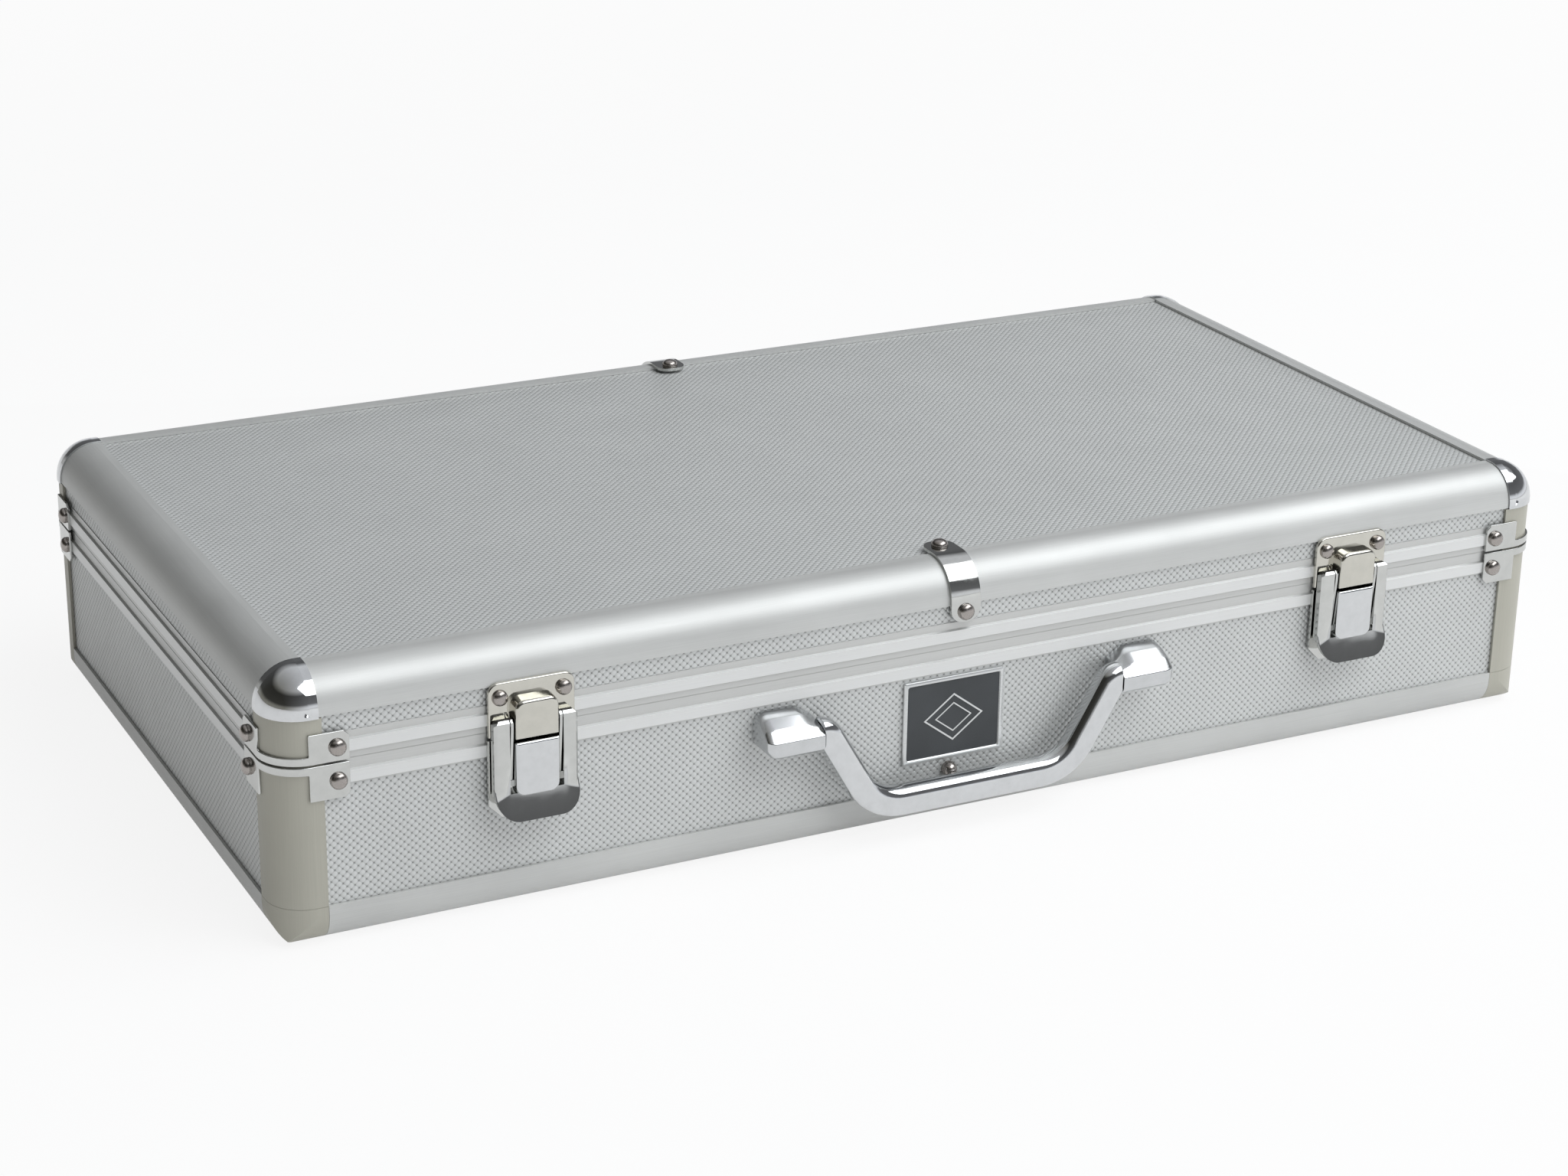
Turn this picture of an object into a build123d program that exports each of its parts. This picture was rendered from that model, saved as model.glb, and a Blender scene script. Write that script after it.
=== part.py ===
from build123d import *
import math
import os

# Mahjong set in an aluminium carrying case, closed, in millimetres.
# +X runs right along the case, -Y is the front with the handle, +Z is up.
# The origin is the middle of the underside.

# Outside of the case
CASE_LENGTH = 530.0
CASE_DEPTH = 279.0
CASE_HEIGHT = 101.3
LID_HEIGHT = 31.95
SEAM_GAP = 0.3

# Panels and the edging that grips them
PANEL_T = 4.0
LEG_T = 1.2
INNER_LEG_T = 1.2
PANEL_BITE = 1.8
PANEL_PLAY = 0.1
FIT_GAP = 0.1
TOP_ROUND = 14.0
TOP_LEG_IN = 16.9
TOP_LEG_DOWN = 14.8
BOTTOM_ROUND = 12.0
BOTTOM_LEG_IN = 18.0
BOTTOM_LEG_UP = 15.6
POST_ROUND = 14.0
POST_LEG = 18.1
BALL_LENGTH = 17.0
BALL_HEIGHT = 15.2
BALL_PROUD = 0.6

# Closing frame: flats either side of a bright rail, and a lip that enters the lid
FLAT_BACK = 0.9
RAIL_SLOPE = 0.5
LID_FRAME_H = 10.0
LID_RAIL_LOW = 2.7
LID_RAIL_H = 4.2
BASE_FRAME_H = 9.3
BASE_RAIL_LOW = 0.8
BASE_RAIL_H = 4.3
LIP_RISE = 2.6
LIP_ROOT = 5.0
LIP_T = 1.2
LIP_GAP = 0.3

# Small round pieces have this many flat faces
ROD_SIDES = 12
STUD_SIDES = 10
STUD_TIP_SHARE = 0.55

# Rivets
RIVET_R = 3.1
RIVET_H = 2.5

# Clamps that hold the closing frame round each corner
CLAMP_T = 1.0
CLAMP_REACH = 27.2
TAB_W = 14.4
TAB_CHAMFER = 1.8
CLAMP_SEAM = 0.35
CLAMP_BAND_H = 3.0
LID_TAB_H = 11.0
BASE_TAB_H = 13.0
TAB_RIVET_IN = 10.2
LID_TAB_RIVET_UP = 5.2
BASE_TAB_RIVET_DOWN = 6.5

# Straps over the middle of the top edging
STRAP_W = 12.2
STRAP_T = 1.2
STRAP_DOWN = 21.3
STRAP_IN = 25.0
STRAP_TIP_R = 5.0
STRAP_RIVET_DOWN = 17.4
STRAP_RIVET_R = 3.2

# Latches, with heights above or below the seam
LATCH_FROM_END = 93.4
LEVER_W = 31.2
KEEPER_W = 32.2
KEEPER_T = 1.5
KEEPER_DOWN = 1.55
KEEPER_UP = 18.65
KEEPER_ROUND = 4.0
KEEPER_RIVET_X = 11.9
KEEPER_RIVET_UP = 13.25
KEEPER_RIVET_R = 2.9
TONGUE_W = 16.2
TONGUE_OUT = 6.9
TONGUE_UP = 12.9
TONGUE_ROUND = 4.0
LATCH_PLATE_W = 33.0
LATCH_PLATE_T = 1.2
LATCH_PLATE_DOWN = 2.45
LATCH_PLATE_EDGE = 1.2
LATCH_PLATE_CHAMFER = 5.0
LATCH_PIVOT_OUT = 3.8
LATCH_PIVOT_UP = 4.05
LATCH_PIN_R = 1.2
PIN_PLAY = 0.1
EAR_GAP = 0.5
EAR_T = 1.0
EAR_DOWN = 17.35
EAR_R = 1.9
EAR_CHAMFER = 1.0
RAIL_GAP = 0.4
RAIL_BACK_OUT = 2.0
RAIL_T = 3.6
RAIL_CHAMFER = 0.9
RAIL_TOP_CHAMFER = 1.8
LIFT_DOWN = 21.9
LIFT_H = 9.0
LIFT_FLARE = 4.4
LIFT_SHEET = 1.4
LIFT_ROUND = 8.0
WEB_T = 1.0
WEB_H = 5.0
HOOK_W = 16.4
HOOK_DOWN = 2.6
HOOK_T = 3.9
HOOK_GAP = 0.3
HOOK_ROUND = 5.0
BEAD_R = 0.6
BEAD_DOWN = 1.3
PLATE_SOFT_EDGE = 0.6

# Handle
HANDLE_PIVOT_DOWN = 19.35
HANDLE_PIVOT_OUT = 8.0
BLOCK_INNER_X = 63.0
BLOCK_LENGTH = 22.5
BLOCK_DOWN = 13.15
BLOCK_H = 11.85
BLOCK_OUT = 13.0
BLOCK_BEVEL = 3.4
BLOCK_FLAT_UP = 0.6
BLOCK_SHOULDER = 4.0
BLOCK_SHOULDER_FALL = 1.9
BLOCK_LOW_CHAMFER = 1.2
BLOCK_END_CHAMFER = 2.0
BLOCK_CUT_L = 6.0
BLOCK_CUT_H = 4.0
BAIL_PLAY = 0.3
BAIL_DEPTH = 9.0
BAIL_WIDTH = 10.4
BAIL_CHAMFER = 2.8
BAIL_STUB = 4.0
BAIL_GRIP_X = 40.5
BAIL_DROP = 33.0
BAIL_KNEE_R = 6.5
BAIL_BEND_R = 20.0
HANDLE_PIN_R = 2.5
HANDLE_PIN_IN_BAIL = 5.0
HANDLE_PIN_IN_BLOCK = 14.0
BUMPER_X = -4.0
BUMPER_BELOW_PLATE = 1.6
BUMPER_R = 3.0
BUMPER_GAP = 0.4

# Plate between the handle's arms
BADGE_X = -3.0
BADGE_W = 42.0
BADGE_BELOW_FRAME = 1.4
BADGE_ABOVE_EDGING = 9.9
BADGE_T = 1.4
BADGE_BORDER = 1.7
BADGE_FIELD_DEPTH = 0.5

# Hinges at the back
HINGE_FROM_END = 105.0
HINGE_W = 40.0
HINGE_LEAF_H = 14.0
HINGE_LEAF_T = 1.2
KNUCKLE_R = 3.2
KNUCKLE_CLEAR = 0.2
KNUCKLE_MID_W = 13.4
KNUCKLE_END_GAP = 0.3
HINGE_PIN_R = 1.5
HINGE_RIVET_X = 12.5
HINGE_RIVET_UP = 9.6
HINGE_RIVET_R = 2.9
HINGE_RIVET_H = 1.5

# Feet on the back
FOOT_FROM_END = 41.0
FOOT_SHARE = 0.17
FOOT_SPREAD_SHARE = 0.26
FOOT_TIP_SHARE = 0.74
FOOT_H = 10.0

# Lining
LINING_GAP = 0.4
FOAM_WALL = 3.2
FOAM_DIVIDER = 4.8
FOAM_DOWN = 2.35
FOAM_FLOOR_GAP = 0.2
PAD_UP = 3.25
PAD_EDGE_GAP = 0.6
PAD_CHAMFER = 2.0
POCKET_PLAY = 0.4
NOTCH_HALF_W = 11.0
NOTCH_REACH = 9.0

# Tiles in trays, which share the room that the racks and the narrow tray leave
TILE_T = 15.0
TILE_PLAY = 0.4
TILES_ACROSS = 5
TILES_ALONG = 4
TILE_LAYERS = 2
TRAY_COUNT = 4
TRAY_WALL = 1.6
TRAY_H = 24.0
TRAY_CHAMFER = 1.2
TRAY_NOTCH_TOP_W = 30.0
TRAY_NOTCH_LOW_W = 20.0
TRAY_NOTCH_DEPTH = 9.0
TILE_DOWN = 1.35

# Racks in two layers
RACK_END_ROOM = 16.7
RACK_W = 62.0
RACK_FLOOR = 9.0
RACK_BASE_T = 5.0
RACK_FIN_T = 7.0
RACK_FIN_LEAN = 7.0
RACK_LEDGE_T = 9.0
RACK_LEDGE_W = 17.0
RACK_LIP_W = 4.0
RACK_LIP_H = 8.0
RACK_DOWN = 3.35
RACK_PLAY = 0.4
PUSHER_SHORTER = 150.0
PUSHER_W = 9.0
PUSHER_H = 5.0
PUSHER_ARM = 16.0

# Small pieces in their own tray
PARTS_TRAY_W = 37.4
PARTS_TRAY_H = 30.0
PARTS_TRAY_DIVIDER = 1.4
DICE_BAY_D = 32.2
WIND_BAY_D = 34.2
DIE_SIZE = 14.0
DIE_ROUND = 1.6
WIND_R = 13.5
WIND_H = 9.0
WIND_RIM = 3.0
WIND_SINK = 1.0
STICK_W = 6.0
STICK_T = 3.0
STICKS_ACROSS = 5
STICK_LAYERS = 2

# Sizes worked out from the ones above
WALL = LEG_T + PANEL_T + INNER_LEG_T
HALF_LENGTH = CASE_LENGTH / 2
HALF_DEPTH = CASE_DEPTH / 2
SEAM_Z = CASE_HEIGHT - LID_HEIGHT
BASE_RIM_Z = SEAM_Z - SEAM_GAP / 2
LID_RIM_Z = SEAM_Z + SEAM_GAP / 2
BASE_FRAME_LOW_Z = BASE_RIM_Z - BASE_FRAME_H
LID_FRAME_TOP_Z = LID_RIM_Z + LID_FRAME_H
POST_X = HALF_LENGTH - POST_LEG
POST_Y = HALF_DEPTH - POST_LEG
FRAME_HALF_X = POST_X - FIT_GAP
FRAME_HALF_Y = POST_Y - FIT_GAP
BALL_X = HALF_LENGTH - BALL_LENGTH
BALL_Y = HALF_DEPTH - BALL_LENGTH
LINING_IN = WALL + LIP_GAP + LIP_T + LINING_GAP
FLOOR_Z = WALL + FOAM_FLOOR_GAP
FOAM_HALF_X = HALF_LENGTH - LINING_IN
FOAM_HALF_Y = HALF_DEPTH - LINING_IN
FOAM_TOP_Z = SEAM_Z - FOAM_DOWN
PAD_LOW_Z = SEAM_Z + PAD_UP
RACK_LENGTH = 2 * (FOAM_HALF_X - RACK_END_ROOM)
RACK_TOP_Z = SEAM_Z - RACK_DOWN
RACK_H = (RACK_TOP_Z - RACK_FLOOR - FLOOR_Z - RACK_PLAY) / 2
RACK_BAY_D = 2 * RACK_W + RACK_PLAY
RACK_BAY_Y = FOAM_HALF_Y - FOAM_WALL - POCKET_PLAY - RACK_BAY_D / 2
RACK_LOW_Z = RACK_TOP_Z - 2 * RACK_H - RACK_PLAY
PUSHER_LENGTH = RACK_LENGTH - PUSHER_SHORTER
PARTS_BAY_X1 = FOAM_HALF_X - FOAM_WALL
PARTS_BAY_X0 = PARTS_BAY_X1 - PARTS_TRAY_W - 2 * POCKET_PLAY
PARTS_TRAY_X = (PARTS_BAY_X0 + PARTS_BAY_X1) / 2
TRAY_ROW_X = -FOAM_HALF_X + FOAM_WALL
TRAY_ROW_END_X = PARTS_BAY_X0 - FOAM_WALL
TRAY_PITCH = (TRAY_ROW_END_X - TRAY_ROW_X) / TRAY_COUNT
TRAY_W = TRAY_PITCH - 2 * POCKET_PLAY
TRAY_D = 2 * (FOAM_HALF_Y - FOAM_WALL - 2 * POCKET_PLAY) - FOAM_DIVIDER - RACK_BAY_D
TRAY_BAY_Y = -FOAM_HALF_Y + FOAM_WALL + POCKET_PLAY + TRAY_D / 2
TILE_W = (TRAY_W - 2 * TRAY_WALL - TILE_PLAY) / TILES_ACROSS - TILE_PLAY
TILE_L = (TRAY_D - 2 * TRAY_WALL - TILE_PLAY) / TILES_ALONG - TILE_PLAY
TILE_TOP_Z = SEAM_Z - TILE_DOWN
TRAY_LOW_Z = TILE_TOP_Z - TILE_LAYERS * TILE_T - TRAY_WALL
PARTS_LOW_Z = TILE_TOP_Z - PARTS_TRAY_H
STICK_BAY_D = TRAY_D - 2 * TRAY_WALL - 2 * PARTS_TRAY_DIVIDER - DICE_BAY_D - WIND_BAY_D
STICK_L = STICK_BAY_D - 2 * TILE_PLAY
STRAP_LOW_Z = CASE_HEIGHT - STRAP_DOWN
STRAP_RIVET_Z = CASE_HEIGHT - STRAP_RIVET_DOWN
LATCH_X = HALF_LENGTH - LATCH_FROM_END
KEEPER_LOW_Z = SEAM_Z - KEEPER_DOWN
KEEPER_TOP_Z = SEAM_Z + KEEPER_UP
KEEPER_RIVET_Z = SEAM_Z + KEEPER_RIVET_UP
TONGUE_TOP_Z = SEAM_Z + TONGUE_UP
LATCH_PLATE_TOP_Z = SEAM_Z - LATCH_PLATE_DOWN
LATCH_PIVOT_Z = SEAM_Z + LATCH_PIVOT_UP
EAR_LOW_Z = SEAM_Z - EAR_DOWN
LIFT_TOP_Z = SEAM_Z - LIFT_DOWN
LIFT_LOW_Z = LIFT_TOP_Z - LIFT_H
HOOK_TOP_Z = SEAM_Z - HOOK_DOWN
HANDLE_Y = -HALF_DEPTH - HANDLE_PIVOT_OUT
HANDLE_PIVOT_Z = SEAM_Z - HANDLE_PIVOT_DOWN
BLOCK_TOP_Z = SEAM_Z - BLOCK_DOWN
BLOCK_LOW_Z = BLOCK_TOP_Z - BLOCK_H
BAIL_GRIP_Z = HANDLE_PIVOT_Z - BAIL_DROP
BASE_PANEL_H = BASE_FRAME_LOW_Z - BOTTOM_LEG_UP
BADGE_H = BASE_PANEL_H - BADGE_BELOW_FRAME - BADGE_ABOVE_EDGING
BADGE_Z = BOTTOM_LEG_UP + BADGE_ABOVE_EDGING + BADGE_H / 2
BUMPER_Z = BADGE_Z - BADGE_H / 2 - BUMPER_BELOW_PLATE - BUMPER_R
HINGE_X = HALF_LENGTH - HINGE_FROM_END
HINGE_AXIS_OUT = KNUCKLE_R + KNUCKLE_CLEAR
FOOT_X = HALF_LENGTH - FOOT_FROM_END
FOOT_R = FOOT_SHARE * BASE_PANEL_H
FOOT_SPREAD = FOOT_SPREAD_SHARE * BASE_PANEL_H
FOOT_MIDDLE_Z = BOTTOM_LEG_UP + BASE_PANEL_H / 2
EAR_X = TONGUE_W / 2 + EAR_GAP
RAIL_INNER_X = EAR_X + EAR_T + RAIL_GAP
BACK, LEFT, FRONT, RIGHT = 0, 90, 180, 270


def block(x0, x1, y0, y1, z0, z1):
    """A plain block between two corners."""
    size = Box(x1 - x0, y1 - y0, z1 - z0)
    return Pos((x0 + x1) / 2, (y0 + y1) / 2, (z0 + z1) / 2) * size


def closed_face(*edges):
    """The flat face inside a closed run of edges."""
    return make_face(Curve() + list(edges))


def on_front(x, out, z):
    """A place on the front face: local x goes right, local y up and local z outward."""
    return Pos(x, -HALF_DEPTH - out, z) * Rot(90, 0, 0)


def on_back(x, out, z):
    """A place on the back face: local y goes up and local z outward."""
    return Pos(x, HALF_DEPTH + out, z) * Rot(-90, 0, 0)


def on_side(out, y, z):
    """A place on the right-hand face, with local z outward."""
    return Pos(HALF_LENGTH + out, y, z) * Rot(0, 90, 0)


def run(section, length, side):
    """A length of edging along one side, from its section in (outward, up) coordinates."""
    reach = HALF_DEPTH if side in (BACK, FRONT) else HALF_LENGTH
    bar = extrude(Plane.YZ * section, amount=length / 2, both=True)
    return Rot(0, 0, side) * (Pos(0, reach, 0) * bar)


def left_and_right(piece):
    return [piece, mirror(piece, about=Plane.YZ)]


def front_and_back(piece):
    return [piece, mirror(piece, about=Plane.XZ)]


def four_corners(piece):
    """A corner piece built at the right back corner, and its three mirror images."""
    copies = []
    for half in left_and_right(piece):
        copies += front_and_back(half)
    return copies


def edges_along(part, axis, test):
    """The edges of part along an axis whose middle point passes a test."""
    return ShapeList(e for e in part.edges().filter_by(axis) if test(e @ 0.5))


def near(a, b, slack=0.01):
    return abs(a - b) < slack


def edging_section(leg_in, leg_down, radius):
    """L-shaped edging with its outer corner, rounded, at (0, 0)."""
    middle = radius * math.sqrt(0.5)
    arc = ThreePointArc((0, -radius), (middle - radius, middle - radius), (-radius, 0))
    inside = Polyline((-radius, 0), (-leg_in, 0), (-leg_in, -WALL), (-WALL, -WALL),
                      (-WALL, -leg_down), (0, -leg_down), (0, -radius))
    return closed_face(arc, inside)


def rod(radius, length, grow=0.0):
    """A rod along X, centred; with grow, the bore round it, whose corners lie between the rod's."""
    turn = 180 / ROD_SIDES if grow else 0
    outline = RegularPolygon(radius + grow, ROD_SIDES, rotation=turn)
    return extrude(Plane.YZ * outline, amount=length / 2, both=True)


def stud(radius, height, tip_share=STUD_TIP_SHARE):
    """A tapered head standing on the XY plane."""
    inset = radius * (1 - tip_share) * math.cos(math.pi / STUD_SIDES)
    lean = math.degrees(math.atan2(inset, height))
    return extrude(RegularPolygon(radius, STUD_SIDES), amount=height, taper=lean)


def panel_limits():
    """Each panel's box: x0, x1, y0, y1, z0, z1."""
    outer_y = HALF_DEPTH - LEG_T
    outer_x = HALF_LENGTH - LEG_T
    wall_x = POST_X + PANEL_BITE
    wall_y = POST_Y + PANEL_BITE
    base_z = (BOTTOM_LEG_UP - PANEL_BITE, BASE_FRAME_LOW_Z + PANEL_BITE)
    lid_z = (LID_FRAME_TOP_Z - PANEL_BITE, CASE_HEIGHT - TOP_LEG_DOWN + PANEL_BITE)
    floor_x = HALF_LENGTH - BOTTOM_LEG_IN + PANEL_BITE
    floor_y = HALF_DEPTH - BOTTOM_LEG_IN + PANEL_BITE
    top_x = HALF_LENGTH - TOP_LEG_IN + PANEL_BITE
    top_y = HALF_DEPTH - TOP_LEG_IN + PANEL_BITE
    top_z = CASE_HEIGHT - LEG_T
    limits = {
        "bottom": (-floor_x, floor_x, -floor_y, floor_y, LEG_T, LEG_T + PANEL_T),
        "top": (-top_x, top_x, -top_y, top_y, top_z - PANEL_T, top_z),
    }
    for half, (low, high) in {"base": base_z, "lid": lid_z}.items():
        limits[half + "_back"] = (-wall_x, wall_x, outer_y - PANEL_T, outer_y, low, high)
        limits[half + "_front"] = (-wall_x, wall_x, -outer_y, PANEL_T - outer_y, low, high)
        limits[half + "_right"] = (outer_x - PANEL_T, outer_x, -wall_y, wall_y, low, high)
        limits[half + "_left"] = (-outer_x, PANEL_T - outer_x, -wall_y, wall_y, low, high)
    return limits


PANELS = panel_limits()


def panel(name, grow=0.0):
    """A panel, or with grow the slot that it sits in."""
    x0, x1, y0, y1, z0, z1 = PANELS[name]
    return block(x0 - grow, x1 + grow, y0 - grow, y1 + grow, z0 - grow, z1 + grow)


def slotted(piece, *names):
    """Cut the slots for the named panels out of a piece."""
    for name in names:
        piece -= panel(name, PANEL_PLAY)
    return piece


SIDE_NAMES = {BACK: "back", LEFT: "left", FRONT: "front", RIGHT: "right"}


def top_edge(side):
    length = 2 * (BALL_X if side in (BACK, FRONT) else BALL_Y) - 2 * FIT_GAP
    section = Pos(0, CASE_HEIGHT) * edging_section(TOP_LEG_IN, TOP_LEG_DOWN, TOP_ROUND)
    return slotted(run(section, length, side), "top", "lid_" + SIDE_NAMES[side])


def bottom_edge(side):
    length = 2 * (POST_X if side in (BACK, FRONT) else POST_Y) - 2 * FIT_GAP
    section = edging_section(BOTTOM_LEG_IN, BOTTOM_LEG_UP, BOTTOM_ROUND)
    section = mirror(section, about=Plane.XZ)
    return slotted(run(section, length, side), "bottom", "base_" + SIDE_NAMES[side])


def lid_frame(side):
    """Closing frame of the lid, with its bright rail."""
    low = LID_RIM_Z
    rail = low + LID_RAIL_LOW
    rail_top = rail + LID_RAIL_H
    top = LID_FRAME_TOP_Z
    outline = Polyline((-WALL, low), (-FLAT_BACK, low), (-FLAT_BACK, rail - RAIL_SLOPE), (0, rail),
                       (0, rail_top), (-FLAT_BACK, rail_top + RAIL_SLOPE), (-FLAT_BACK, top),
                       (-WALL, top), close=True)
    half = FRAME_HALF_X if side in (BACK, FRONT) else FRAME_HALF_Y
    return slotted(run(make_face(outline), 2 * half, side), "lid_" + SIDE_NAMES[side])


def base_frame(side):
    """Closing frame of the base, with its bright rail and the lip that enters the lid."""
    low = BASE_FRAME_LOW_Z
    rail = low + BASE_RAIL_LOW
    rail_top = rail + BASE_RAIL_H
    top = BASE_RIM_Z
    lip_out = WALL + LIP_GAP
    lip_in = lip_out + LIP_T
    outline = Polyline((-WALL, low), (-FLAT_BACK, low), (-FLAT_BACK, rail - RAIL_SLOPE), (0, rail),
                       (0, rail_top), (-FLAT_BACK, rail_top + RAIL_SLOPE), (-FLAT_BACK, top),
                       (-lip_out, top), (-lip_out, top + LIP_RISE), (-lip_in, top + LIP_RISE),
                       (-lip_in, top - LIP_ROOT), (-WALL, top - LIP_ROOT), close=True)
    half = FRAME_HALF_X if side in (BACK, FRONT) else FRAME_HALF_Y
    return slotted(run(make_face(outline), 2 * half, side), "base_" + SIDE_NAMES[side])


def corner_post(low, high, half):
    """A short length of the same edging stood on end at the right back corner."""
    section = Pos(HALF_LENGTH, HALF_DEPTH) * edging_section(POST_LEG, POST_LEG, POST_ROUND)
    post = Pos(0, 0, low) * extrude(section, amount=high - low)
    return slotted(post, half + "_back", half + "_right")


def edges_from(part, point):
    """The edges of part that meet at a point."""
    corner = Vector(*point)
    return ShapeList(
        e for e in part.edges() if min((e @ 0 - corner).length, (e @ 1 - corner).length) < 0.01
    )


def ball_corner():
    """Pressed cap over a top corner, three rounds running into a ball."""
    far = (HALF_LENGTH + BALL_PROUD, HALF_DEPTH + BALL_PROUD, CASE_HEIGHT + BALL_PROUD)
    cap = block(BALL_X, far[0], BALL_Y, far[1], CASE_HEIGHT - BALL_HEIGHT, far[2])
    cap = fillet(edges_from(cap, far), TOP_ROUND + BALL_PROUD)
    inside = block(0, HALF_LENGTH - WALL, 0, HALF_DEPTH - WALL, 0, CASE_HEIGHT - WALL)
    return slotted(cap - inside, "top", "lid_back", "lid_right")


def bottom_cap():
    """Cap on a bottom corner, where an upright round meets the two along the ground."""
    cap = block(POST_X, HALF_LENGTH, POST_Y, HALF_DEPTH, 0, BOTTOM_LEG_UP - FIT_GAP)
    for axis, radius, test in (
        (Axis.Z, POST_ROUND, lambda p: near(p.X, HALF_LENGTH) and near(p.Y, HALF_DEPTH)),
        (Axis.X, BOTTOM_ROUND, lambda p: near(p.Y, HALF_DEPTH) and near(p.Z, 0)),
        (Axis.Y, BOTTOM_ROUND, lambda p: near(p.X, HALF_LENGTH) and near(p.Z, 0)),
    ):
        whole = block(POST_X, HALF_LENGTH, POST_Y, HALF_DEPTH, 0, BOTTOM_LEG_UP - FIT_GAP)
        cap &= fillet(edges_along(whole, axis, test), radius)
    inside = block(0, HALF_LENGTH - WALL, 0, HALF_DEPTH - WALL, WALL, BOTTOM_LEG_UP)
    return slotted(cap - inside, "bottom", "base_back", "base_right")


def clamp_band(reach, radius, thickness):
    """Strip bent round the outside of a corner whose sharp point is at (0, 0)."""
    def bend(r):
        middle = r * math.sqrt(0.5) - radius
        return ThreePointArc((r - radius, -radius), (middle, middle), (-radius, r - radius))

    outer = bend(radius + thickness)
    inner = bend(radius)
    ends = Polyline((-radius, thickness), (-reach, thickness), (-reach, 0), (-radius, 0))
    starts = Polyline((0, -radius), (0, -reach), (thickness, -reach), (thickness, -radius))
    return closed_face(outer, ends, inner, starts)


def corner_clamp(seam_z, tab_h, direction):
    """Band round the right back corner with a riveted tab on each face."""
    strip = Pos(HALF_LENGTH, HALF_DEPTH) * clamp_band(CLAMP_REACH, POST_ROUND, CLAMP_T)
    clamp = Pos(0, 0, seam_z) * extrude(strip, amount=direction * tab_h)
    tab_edge = CLAMP_REACH - TAB_W
    band_z = seam_z + direction * CLAMP_BAND_H
    end_z = seam_z + direction * (tab_h + 1)
    clamp -= block(HALF_LENGTH - tab_edge, HALF_LENGTH + 5, HALF_DEPTH - tab_edge, HALF_DEPTH + 5,
                   min(band_z, end_z), max(band_z, end_z))
    tip_z = seam_z + direction * tab_h
    tips = edges_along(clamp, Axis.X, lambda p: near(p.Z, tip_z) and near(p.X, HALF_LENGTH + CLAMP_T / 2))
    tips += edges_along(clamp, Axis.Y, lambda p: near(p.Z, tip_z) and near(p.Y, HALF_DEPTH + CLAMP_T / 2))
    return chamfer(tips, TAB_CHAMFER)


def clamp_rivets(z):
    """Two rivets, one in each tab, at every corner."""
    along = CLAMP_REACH - TAB_W + TAB_RIVET_IN
    head = stud(RIVET_R, RIVET_H)
    pair = [on_back(HALF_LENGTH - along, CLAMP_T, z) * head]
    pair.append(on_side(CLAMP_T, HALF_DEPTH - along, z) * head)
    heads = []
    for one in pair:
        heads += four_corners(one)
    return heads


def strap():
    """Strip bent over the middle of the back top edging, with a rounded tip on the panel."""
    r_in = TOP_ROUND
    r_out = TOP_ROUND + STRAP_T
    top = CASE_HEIGHT
    bend_z = top - TOP_ROUND
    root = math.sqrt(0.5)
    tip_y = -STRAP_IN
    outer = ThreePointArc((STRAP_T, bend_z), (r_out * root - r_in, bend_z + r_out * root),
                          (-r_in, top + STRAP_T))
    inner = ThreePointArc((-r_in, top), (r_in * root - r_in, bend_z + r_in * root), (0, bend_z))
    over = Polyline((-r_in, top + STRAP_T), (tip_y, top + STRAP_T), (tip_y, top), (-r_in, top))
    down = Polyline((0, bend_z), (0, STRAP_LOW_Z), (STRAP_T, STRAP_LOW_Z), (STRAP_T, bend_z))
    piece = run(closed_face(outer, over, inner, down), STRAP_W, BACK)
    tip = edges_along(piece, Axis.Z, lambda p: near(p.Y, HALF_DEPTH - STRAP_IN))
    piece = fillet(tip, STRAP_TIP_R)
    foot = edges_along(piece, Axis.Y, lambda p: near(p.Z, STRAP_LOW_Z))
    return fillet(foot, STRAP_TIP_R)


def strap_rivets():
    head = stud(STRAP_RIVET_R, RIVET_H)
    upright = on_back(0, STRAP_T, STRAP_RIVET_Z) * head
    tip_y = HALF_DEPTH - STRAP_IN + STRAP_TIP_R
    flat = Pos(0, tip_y, CASE_HEIGHT + STRAP_T) * head
    return front_and_back(upright) + front_and_back(flat)


def upright_plate(width, low, high, out, thickness, corners, rounding):
    """A plate flat on the front face, with its low or high corners rounded."""
    plate = block(-width / 2, width / 2, low, high, out, out + thickness)
    level = low if corners == "low" else high
    picked = edges_along(plate, Axis.Z, lambda p: near(p.Y, level))
    return fillet(picked, rounding)


def latch_keeper():
    """Plate on the lid with a raised tongue; local y is height and local z outward."""
    plate = upright_plate(KEEPER_W, KEEPER_LOW_Z, KEEPER_TOP_Z, 0, KEEPER_T, "high", KEEPER_ROUND)
    plate = chamfer(plate.faces().sort_by(Axis.Z)[-1].edges(), PLATE_SOFT_EDGE)
    tongue = upright_plate(TONGUE_W, KEEPER_LOW_Z, TONGUE_TOP_Z, 0, TONGUE_OUT, "high", TONGUE_ROUND)
    tongue = chamfer(tongue.faces().sort_by(Axis.Z)[-1].edges(), PLATE_SOFT_EDGE)
    return plate + tongue


def seen_from_side(profile):
    """Stand a profile in (outward, up) on edge, facing right, in a latch's own directions."""
    return Plane((0, 0, 0), x_dir=(0, 0, 1), z_dir=(1, 0, 0)) * mirror(profile, about=Plane.XZ)


def latch_pin_hole(length):
    return Pos(0, LATCH_PIVOT_Z, LATCH_PIVOT_OUT) * rod(LATCH_PIN_R, length, PIN_PLAY)


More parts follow.
